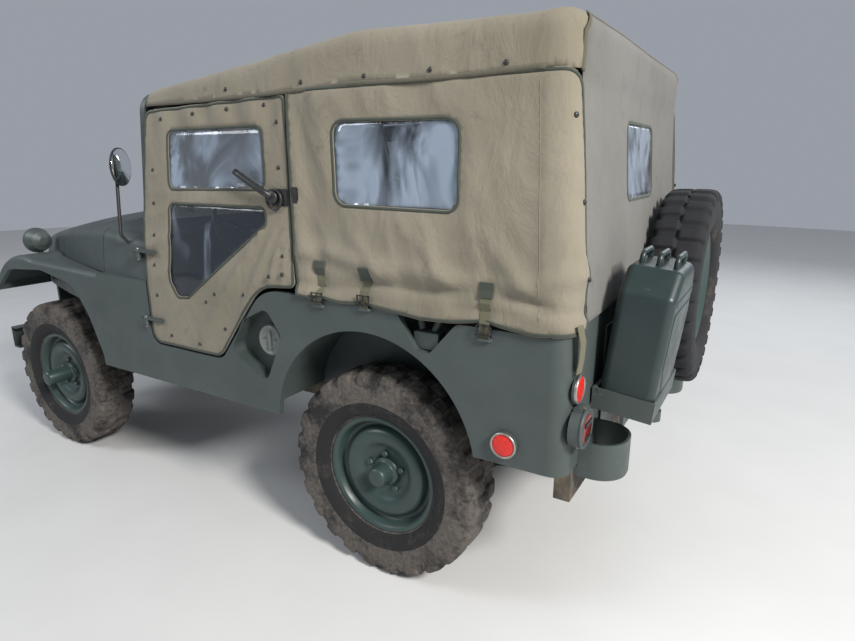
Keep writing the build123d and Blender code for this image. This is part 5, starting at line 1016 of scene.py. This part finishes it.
# distance outward, radius
TYRE_WALL = ((0.0605, 0.2046), (0.0665, 0.2225), (0.0760, 0.2300), (0.0868, 0.2560), (0.0918, 0.2900),
             (0.0916, 0.3180), (0.0880, 0.3400), (0.0820, 0.3560), (0.0740, 0.3670), (0.0600, 0.3712),
             (0.0400, 0.3722), (0.0200, 0.3726), (0.0, 0.3728))
WALL_FROM = 0.070
WALL_CLEAN_R = 0.285
BAR_H = 0.0135
ROAD_BARS = 24
SPARE_BARS = 32
BAR_SHARE = 0.56
ROAD_WHEELS = (("front_left", 1), ("front_right", -1), ("rear_left", 1), ("rear_right", -1))


def wall_curve(steps=3):
    """Smooth half section of a tyre from its bead to its middle."""
    places = [Vector(row) for row in TYRE_WALL]
    out = []
    for index, (b, c) in enumerate(zip(places, places[1:])):
        a, d = places[max(0, index - 1)], places[min(len(places) - 1, index + 2)]
        for step in range(steps):
            t = step / steps
            out.append(0.5 * (2.0 * b + (c - a) * t + (2.0 * a - 5.0 * b + 4.0 * c - d) * t * t
                              + (3.0 * b - a - 3.0 * c + d) * t ** 3))
    return out + [places[-1]]


def bar_height(angle, outward, radius, bars):
    """Share of the bar's height at a place on the tread: square-shouldered bars in two staggered rows."""
    shift = 0.5 if outward > 0.0 else 0.0
    across = abs((angle * bars / (2.0 * math.pi) - shift + 0.5) % 1.0 - 0.5) / (0.5 * BAR_SHARE)
    return (1.0 - smooth(across, 0.86, 1.12)) * smooth(abs(outward), 0.0015, 0.0055) * smooth(radius, 0.338, 0.352)


def tyre(name, node, axis, side, bars, mat, body, mud, seed):
    """Tyre with its bars and dried mud about a wheel's axle."""
    low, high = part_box(node)
    middle = (low + high) / 2.0
    curve = wall_curve()
    rows = [Vector((-p.x, p.y)) for p in curve[:-1]] + curve[::-1]
    count = len(rows)
    normals = [Vector((-way.y, way.x)) for way in ways(rows)]
    verts = []
    for turn, (cos_a, sin_a) in enumerate(circle(TYRE_TURNS)):
        for (outward, radius), normal in zip(rows, normals):
            rise = bar_height(2.0 * math.pi * turn / TYRE_TURNS, outward, radius, bars)
            point = Vector((cos_a * radius * 9.0 + seed, sin_a * radius * 9.0, outward * 9.0))
            cake = noise.noise(point) * 0.6 + noise.noise(point * 3.1) * 0.4 + noise.noise(point * 8.0) * 0.2
            # mud lies thick between the bars, thin on the wall and is worn off the bars
            between = (0.55 + cake) * (0.25 + 0.75 * (1.0 - rise)) * smooth(radius, 0.30, 0.345)
            wall = 0.25 * cake * smooth(radius, 0.232, 0.250)
            place = Vector((outward, radius)) + normal * (BAR_H * rise + mud * (between + wall - 0.25 * rise))
            far = min(place.y, TYRE_R - 0.0008)
            wide = side * max(-TYRE_HALF_W, min(TYRE_HALF_W, place.x))
            spot = (far * cos_a, wide, far * sin_a) if axis == "Y" else (wide, far * cos_a, far * sin_a)
            verts.append(middle + Vector(spot))
    # the inside of the casing closes each turn from bead to bead
    obj = finish_mesh(name, verts, band_faces(TYRE_TURNS, count, True), [mat, wall_rubber], body)
    for index, polygon in enumerate(obj.data.polygons):
        outward, radius = rows[index % count]
        if abs(outward) > WALL_FROM and radius < WALL_CLEAN_R:
            polygon.material_index = 1
    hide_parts(node)


def tyres():
    """Four muddy road tyres and the cleaner spare."""
    for index, (word, side) in enumerate(ROAD_WHEELS):
        tyre(f"tyre_{word}_mud", f"tyre_{word}", "Y", side, ROAD_BARS, mud_rubber, f"{word}_wheel", 0.0055, 7.0 * index)
    tyre("spare_tyre_worn", "spare_tyre", "X", -1, SPARE_BARS, clean_rubber, "car", 0.0008, 40.0)


tyres()

# Small parts

TRACK_HALF = 0.6245
CAP_R = 0.036
# distance outward, radius, round the section of a pressed wheel
RIM = ((0.0660, 0.2210), (0.0675, 0.2190), (0.0668, 0.2080), (0.0610, 0.2000), (0.0340, 0.1965), (0.0240, 0.1905),
       (0.0190, 0.1770), (0.0270, 0.1710), (0.0430, 0.1660), (0.0515, 0.1560), (0.0535, 0.1420), (0.0510, 0.1240),
       (0.0400, 0.1060), (0.0310, 0.0950), (0.0290, 0.0860), (0.0290, 0.0460), (0.0240, 0.0460), (0.0240, 0.0880),
       (0.0270, 0.0980), (0.0360, 0.1090), (0.0460, 0.1260), (0.0480, 0.1420), (0.0455, 0.1540), (0.0390, 0.1610),
       (0.0220, 0.1670), (0.0130, 0.1760), (0.0130, 0.1850), (-0.0150, 0.1850), (-0.0260, 0.1960), (-0.0610, 0.1985),
       (-0.0665, 0.2070), (-0.0660, 0.2210), (-0.0610, 0.2040), (0.0610, 0.2040))
# distance outward, radius, of the drum and hub up to the cap
HUB = ((-0.0097, 0.0005), (-0.0097, 0.1120), (0.0040, 0.1120), (0.0100, 0.1080), (0.0220, 0.1060), (0.0238, 0.1000),
       (0.0238, 0.0520), (0.0340, 0.0520), (0.0360, 0.0500), (0.0360, 0.0377), (0.0440, 0.0377), (0.0680, 0.0360))
HUB_DOME = ((-0.010, 0.020), (-0.002, 0.019), (0.001, 0.016), (0.0025, 0.010), (0.003, 0.002))
STUD_CIRCLE = 0.070
NUT_FACE = 0.029
NUT_R = 0.0125
REARWARD = (-1, 0, 0)


def boxes(at, table):
    """Bars on the car about a place, each by its name, low corner, high corner, finish and bevel."""
    for name, low, high, mat, bevel in table:
        bar_box(name, Vector(at) + Vector(low), Vector(at) + Vector(high), mat, "car", bevel)


def reflector(name, at, way, radius):
    """Red reflector in a bright turned rim, on the lamp node's disc."""
    rim = [(-0.004, radius), (0.003, radius), (0.0055, radius - 0.002), (0.0055, radius - 0.005),
           (0.002, radius - 0.007)]
    face = [(0.0, radius - 0.006), (0.0028, radius - 0.0065), (0.0042, radius - 0.012), (0.0046, 0.004)]
    lathe(f"{name}_rim", rim, at, way, steel, "car")
    lathe(f"{name}_face", face, at, way, red_lens, "car")


def tail_lamp(name, at):
    """Lens, rim, clips and boss on a tail lamp's body."""
    rim = [(0.0, 0.0595), (0.006, 0.0595), (0.009, 0.056), (0.009, 0.049), (0.004, 0.0475)]
    lathe(f"{name}_rim", rim, at, REARWARD, paint, "car")
    lens = [(0.0, 0.048), (0.006, 0.0475), (0.0095, 0.040), (0.011, 0.006)]
    lathe(f"{name}_lens", lens, at, REARWARD, dark_lens, "car")
    boxes(at, ((f"{name}_slot_top", (-0.0135, -0.030, 0.010), (-0.008, 0.030, 0.024), black, 0.0015),
               (f"{name}_slot_low", (-0.0135, -0.022, -0.030), (-0.008, 0.022, -0.020), black, 0.0015),
               (f"{name}_clip_1", (-0.004, -0.010, 0.057), (0.020, 0.010, 0.062), steel, 0.0015),
               (f"{name}_clip_2", (-0.004, -0.010, -0.062), (0.020, 0.010, -0.057), steel, 0.0015),
               (f"{name}_boss", (0.004, -0.026, 0.046), (0.029, 0.026, 0.0635), paint, 0.003)))


def bolts(name, at, way, reach, count, start, radius, height, body, left_out=()):
    """Six-sided bolt heads or nuts in a ring round an axis along X or Y, apart from those left out."""
    rows = [(0.0, radius), (0.7 * height, radius), (height, 0.82 * radius)]
    for k, (cos_a, sin_a) in enumerate(circle(count, math.radians(start))):
        if k not in left_out:
            across = Vector((0.0, cos_a, sin_a)) if way[0] else Vector((cos_a, 0.0, sin_a))
            lathe(f"{name}_{k + 1}", rows, Vector(at) + reach * across, way, wheel_paint, body, 6, flat=True)


def wheel_trim():
    """Pressed wheels with their hubs and nuts, and the nuts of the spare."""
    for word, side in ROAD_WHEELS:
        body, node, way = f"{word}_wheel", f"wheel_{word}", (0, side, 0)
        low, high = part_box(f"tyre_{word}")
        x, z = (low.x + high.x) / 2.0, (low.z + high.z) / 2.0
        cap_low, cap_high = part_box(node)
        end = cap_high.y if side > 0 else cap_low.y
        reach = abs(end) - TRACK_HALF
        cap = ((reach - 0.012, CAP_R), (reach - 0.004, 0.9 * CAP_R), (reach, 0.6 * CAP_R), (reach, 0.0005))
        axle = (x, side * TRACK_HALF, z)
        for piece in (lathe(f"rim_{word}", RIM, axle, way, wheel_paint, body, 72, ring=True),
                      lathe(f"hub_{word}", HUB + cap, axle, way, wheel_paint, body)):
            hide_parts(node)
        face = (x, side * (TRACK_HALF + NUT_FACE), z)
        bolts(f"nut_{word}", face, way, STUD_CIRCLE, 5, 90.0, NUT_R, 0.011, body)
        bolts(f"hub_bolt_{word}", (x, end - side * 0.0105, z), way, 0.0285, 6, 30.0, 0.0048, 0.004, body)
        lathe(f"hub_dome_{word}", HUB_DOME, (x, end - side * 0.003, z), way, wheel_paint, body, 28)
    low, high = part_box("spare_rim")
    middle = (low + high) / 2.0
    # three nuts hold the spare
    bolts("spare_nut", (low.x + 0.030, middle.y, middle.z), REARWARD, STUD_CIRCLE, 5, 90.0, NUT_R, 0.012, "car", (1, 4))


CAN_T = 0.158
CAN_LEAN = math.radians(6.0)
CAN_RIGHT_Y = 0.215
CAN_FOOT = (-1.562, 0.755)


def can_rear(out, y, h):
    """Place on the can's rear face, from its height along the can."""
    x = -CAN_T - out
    return Vector((CAN_FOOT[0] + x * math.cos(CAN_LEAN) - h * math.sin(CAN_LEAN), y,
                   CAN_FOOT[1] + x * math.sin(CAN_LEAN) + h * math.cos(CAN_LEAN)))


def can_plate(name, corners, thickness):
    """Thin plate with sloping edges on the can's rear face."""
    foot = [can_rear(0.0, y, h) for y, h in corners]
    face = [can_rear(thickness, y, h) for y, h in inset(corners, 0.004)]
    finish_mesh(name, foot + face, band_faces(2, len(corners), False), can_paint, "car", flat=True)


def can_trim():
    """Pressed panels of the can, and its strap."""
    lower = [(0.246, 0.315), (0.246, 0.150), (0.318, 0.045), (0.447, 0.045), (0.519, 0.150), (0.519, 0.315)]
    upper = [(0.246, 0.330), (0.519, 0.330), (0.519, 0.352), (0.246, 0.352)]
    can_plate("can_panel", rounded(lower, 0.030, 4), 0.0028)
    can_plate("can_step", rounded(upper, 0.008, 3), 0.0020)
    line = [can_rear(-0.3 * CAN_T, CAN_RIGHT_Y - 0.0025, h) for h in (0.335, 0.25, 0.16, 0.08, 0.004)]
    ribbon("can_strap", line, (1.0, 0.0, 0.1), 0.026, 0.0025, webbing)
    boxes(line[1], (("can_buckle", (-0.018, -0.0035, -0.012), (0.018, 0.0035, 0.012), steel, 0.0015),))


def fuel_cap():
    """Fuel cap in its pocket, with its ring, slots and lever."""
    at = (-0.409, 0.7345, 0.829)
    ring = [(-0.016, 0.0600), (-0.004, 0.0600), (0.000, 0.0570), (0.004, 0.0545), (0.004, 0.0490), (0.001, 0.0470),
            (0.001, 0.0005)]
    lathe("fuel_cap_ring", ring, at, (0, 1, 0), bright_paint, "car", 44)
    boxes(at, (("fuel_cap_lever", (-0.006, 0.0, -0.034), (0.006, 0.007, 0.034), bright_paint, 0.0015),
               ("fuel_cap_slot_rear", (-0.034, 0.0, 0.006), (-0.020, 0.0025, 0.0085), black, 0.0005),
               ("fuel_cap_slot_front", (0.020, 0.0, 0.006), (0.034, 0.0025, 0.0085), black, 0.0005)))


MIRROR_TURN = math.radians(29.0)
# middle of the mirror's shell, and the distance from it to the glass
MIRROR_AT = Vector((0.430, 0.722, 1.449))
MIRROR_DEPTH = 0.0221


def mirror_glass():
    """Glass in the round mirror."""
    way = Vector((-math.cos(MIRROR_TURN), -math.sin(MIRROR_TURN), 0.0))
    disc = [(0.0, 0.0725), (0.0014, 0.0725), (0.0016, 0.0005)]
    lathe("mirror_glass", disc, MIRROR_AT + way * MIRROR_DEPTH, way, mirror_face, "car", 48)


HEADLAMP_Y = 0.352
HEADLAMP_Z = 0.905
HEADLAMP_DOME = ((-0.006, 0.079), (0.000, 0.078), (0.006, 0.066), (0.010, 0.046), (0.012, 0.022), (0.0125, 0.001))


def headlamps():
    """Glass in the headlamps."""
    face = max(vert.co.x for vert in nodes["front_lamps"].data.vertices if abs(abs(vert.co.y) - HEADLAMP_Y) < 0.06)
    for word, side in SIDES:
        at = (face - 0.004, side * HEADLAMP_Y, HEADLAMP_Z)
        lathe(f"headlamp_glass_{word}", HEADLAMP_DOME, at, (1, 0, 0), lamp_glass, "car", 48)


headlamps()
can_trim()
fuel_cap()
mirror_glass()
ribbon("corner_strap", [(-1.5535, 0.729, 1.045), (-1.5640, 0.727, 1.000), (-1.5610, 0.722, 0.950),
                        (-1.5550, 0.719, 0.908)], (0.2, 1.0, 0.0), 0.030, 0.0024, webbing)

# name, place on the lamp node's face, outward way, radius
for row in (("side_reflector_left", (-1.364, 0.7720, 0.669), (0, 1, 0), 0.041),
            ("side_reflector_right", (-1.364, -0.7720, 0.669), (0, -1, 0), 0.041),
            ("rear_reflector_left", (-1.5543, 0.700, 0.857), REARWARD, 0.043),
            ("rear_reflector_right", (-1.5543, -0.700, 0.857), REARWARD, 0.043)):
    reflector(*row)
tail_lamp("tail_lamp_left", (-1.5753, 0.700, 0.746))
tail_lamp("tail_lamp_right", (-1.5753, -0.700, 0.668))
wheel_trim()

# Floor, light and camera

GROUND_HALF = 14.0


def floor_mesh():
    """Large pale floor disc."""
    mat, tree, shader, coords = new_material("floor")
    spots = noise_node(tree, coords, 3.0, 3.0, 0.5)
    feed(tree, shader, {"Base Color": mix_node(tree, spots, (0.60, 0.60, 0.59), (0.66, 0.66, 0.65)),
                        "Roughness": 0.9})
    mesh = bpy.data.meshes.new("floor")
    bm = bmesh.new()
    bmesh.ops.create_circle(bm, cap_ends=True, radius=GROUND_HALF, segments=64)
    bm.to_mesh(mesh)
    bm.free()
    add_object("floor", mesh, [mat])


def aimed(name, data, place, way, roll=0.0):
    """Light or camera at a place, looking along a way and turned about it by a roll."""
    obj = bpy.data.objects.new(name, data)
    obj.location = place
    obj.rotation_mode = "QUATERNION"
    obj.rotation_quaternion = way.to_track_quat("-Z", "Y") @ Quaternion((0.0, 0.0, 1.0), math.radians(roll))
    bpy.context.scene.collection.objects.link(obj)
    return obj


def area_light(name, place, target, size, power, colour):
    """Large soft light aimed at a point."""
    data = bpy.data.lights.new(name, "AREA")
    data.shape = "DISK"
    data.size = size
    data.energy = power
    data.color = colour
    aimed(name, data, place, Vector(target) - Vector(place))


def studio():
    """Pale sky light with three large lamps."""
    world = bpy.data.worlds.new("studio")
    bpy.context.scene.world = world
    world.use_nodes = True
    background = world.node_tree.nodes["Background"]
    background.inputs["Color"].default_value = (0.78, 0.84, 0.95, 1.0)
    background.inputs["Strength"].default_value = 0.40
    area_light("key", (-6.0, 2.6, 4.6), (-0.3, 0.2, 0.9), 1.5, 640.0, (1.0, 0.97, 0.93))
    area_light("front", (4.5, 4.5, 5.0), (0.2, 0.0, 0.9), 3.0, 190.0, (0.93, 0.96, 1.0))
    area_light("right", (-2.5, -5.5, 4.5), (-0.4, 0.0, 0.9), 4.0, 130.0, (0.9, 0.95, 1.0))
    bpy.context.scene.view_settings.view_transform = "Standard"


CAMERA_PLACE = (-1.987, 2.218, 1.460)
CAMERA_YAW = 58.75
CAMERA_PITCH = 14.92
CAMERA_ROLL = -0.2
CAMERA_LENS = 24.87


def camera():
    """Camera fitted to the photograph."""
    data = bpy.data.cameras.new("camera")
    data.sensor_width = 36.0
    data.sensor_fit = "HORIZONTAL"
    data.lens = CAMERA_LENS
    data.clip_start = 0.05
    yaw, pitch = math.radians(CAMERA_YAW), math.radians(CAMERA_PITCH)
    way = Vector((math.cos(yaw) * math.cos(pitch), -math.sin(yaw) * math.cos(pitch), -math.sin(pitch)))
    bpy.context.scene.camera = aimed("camera", data, CAMERA_PLACE, way, CAMERA_ROLL)


floor_mesh()
studio()
camera()
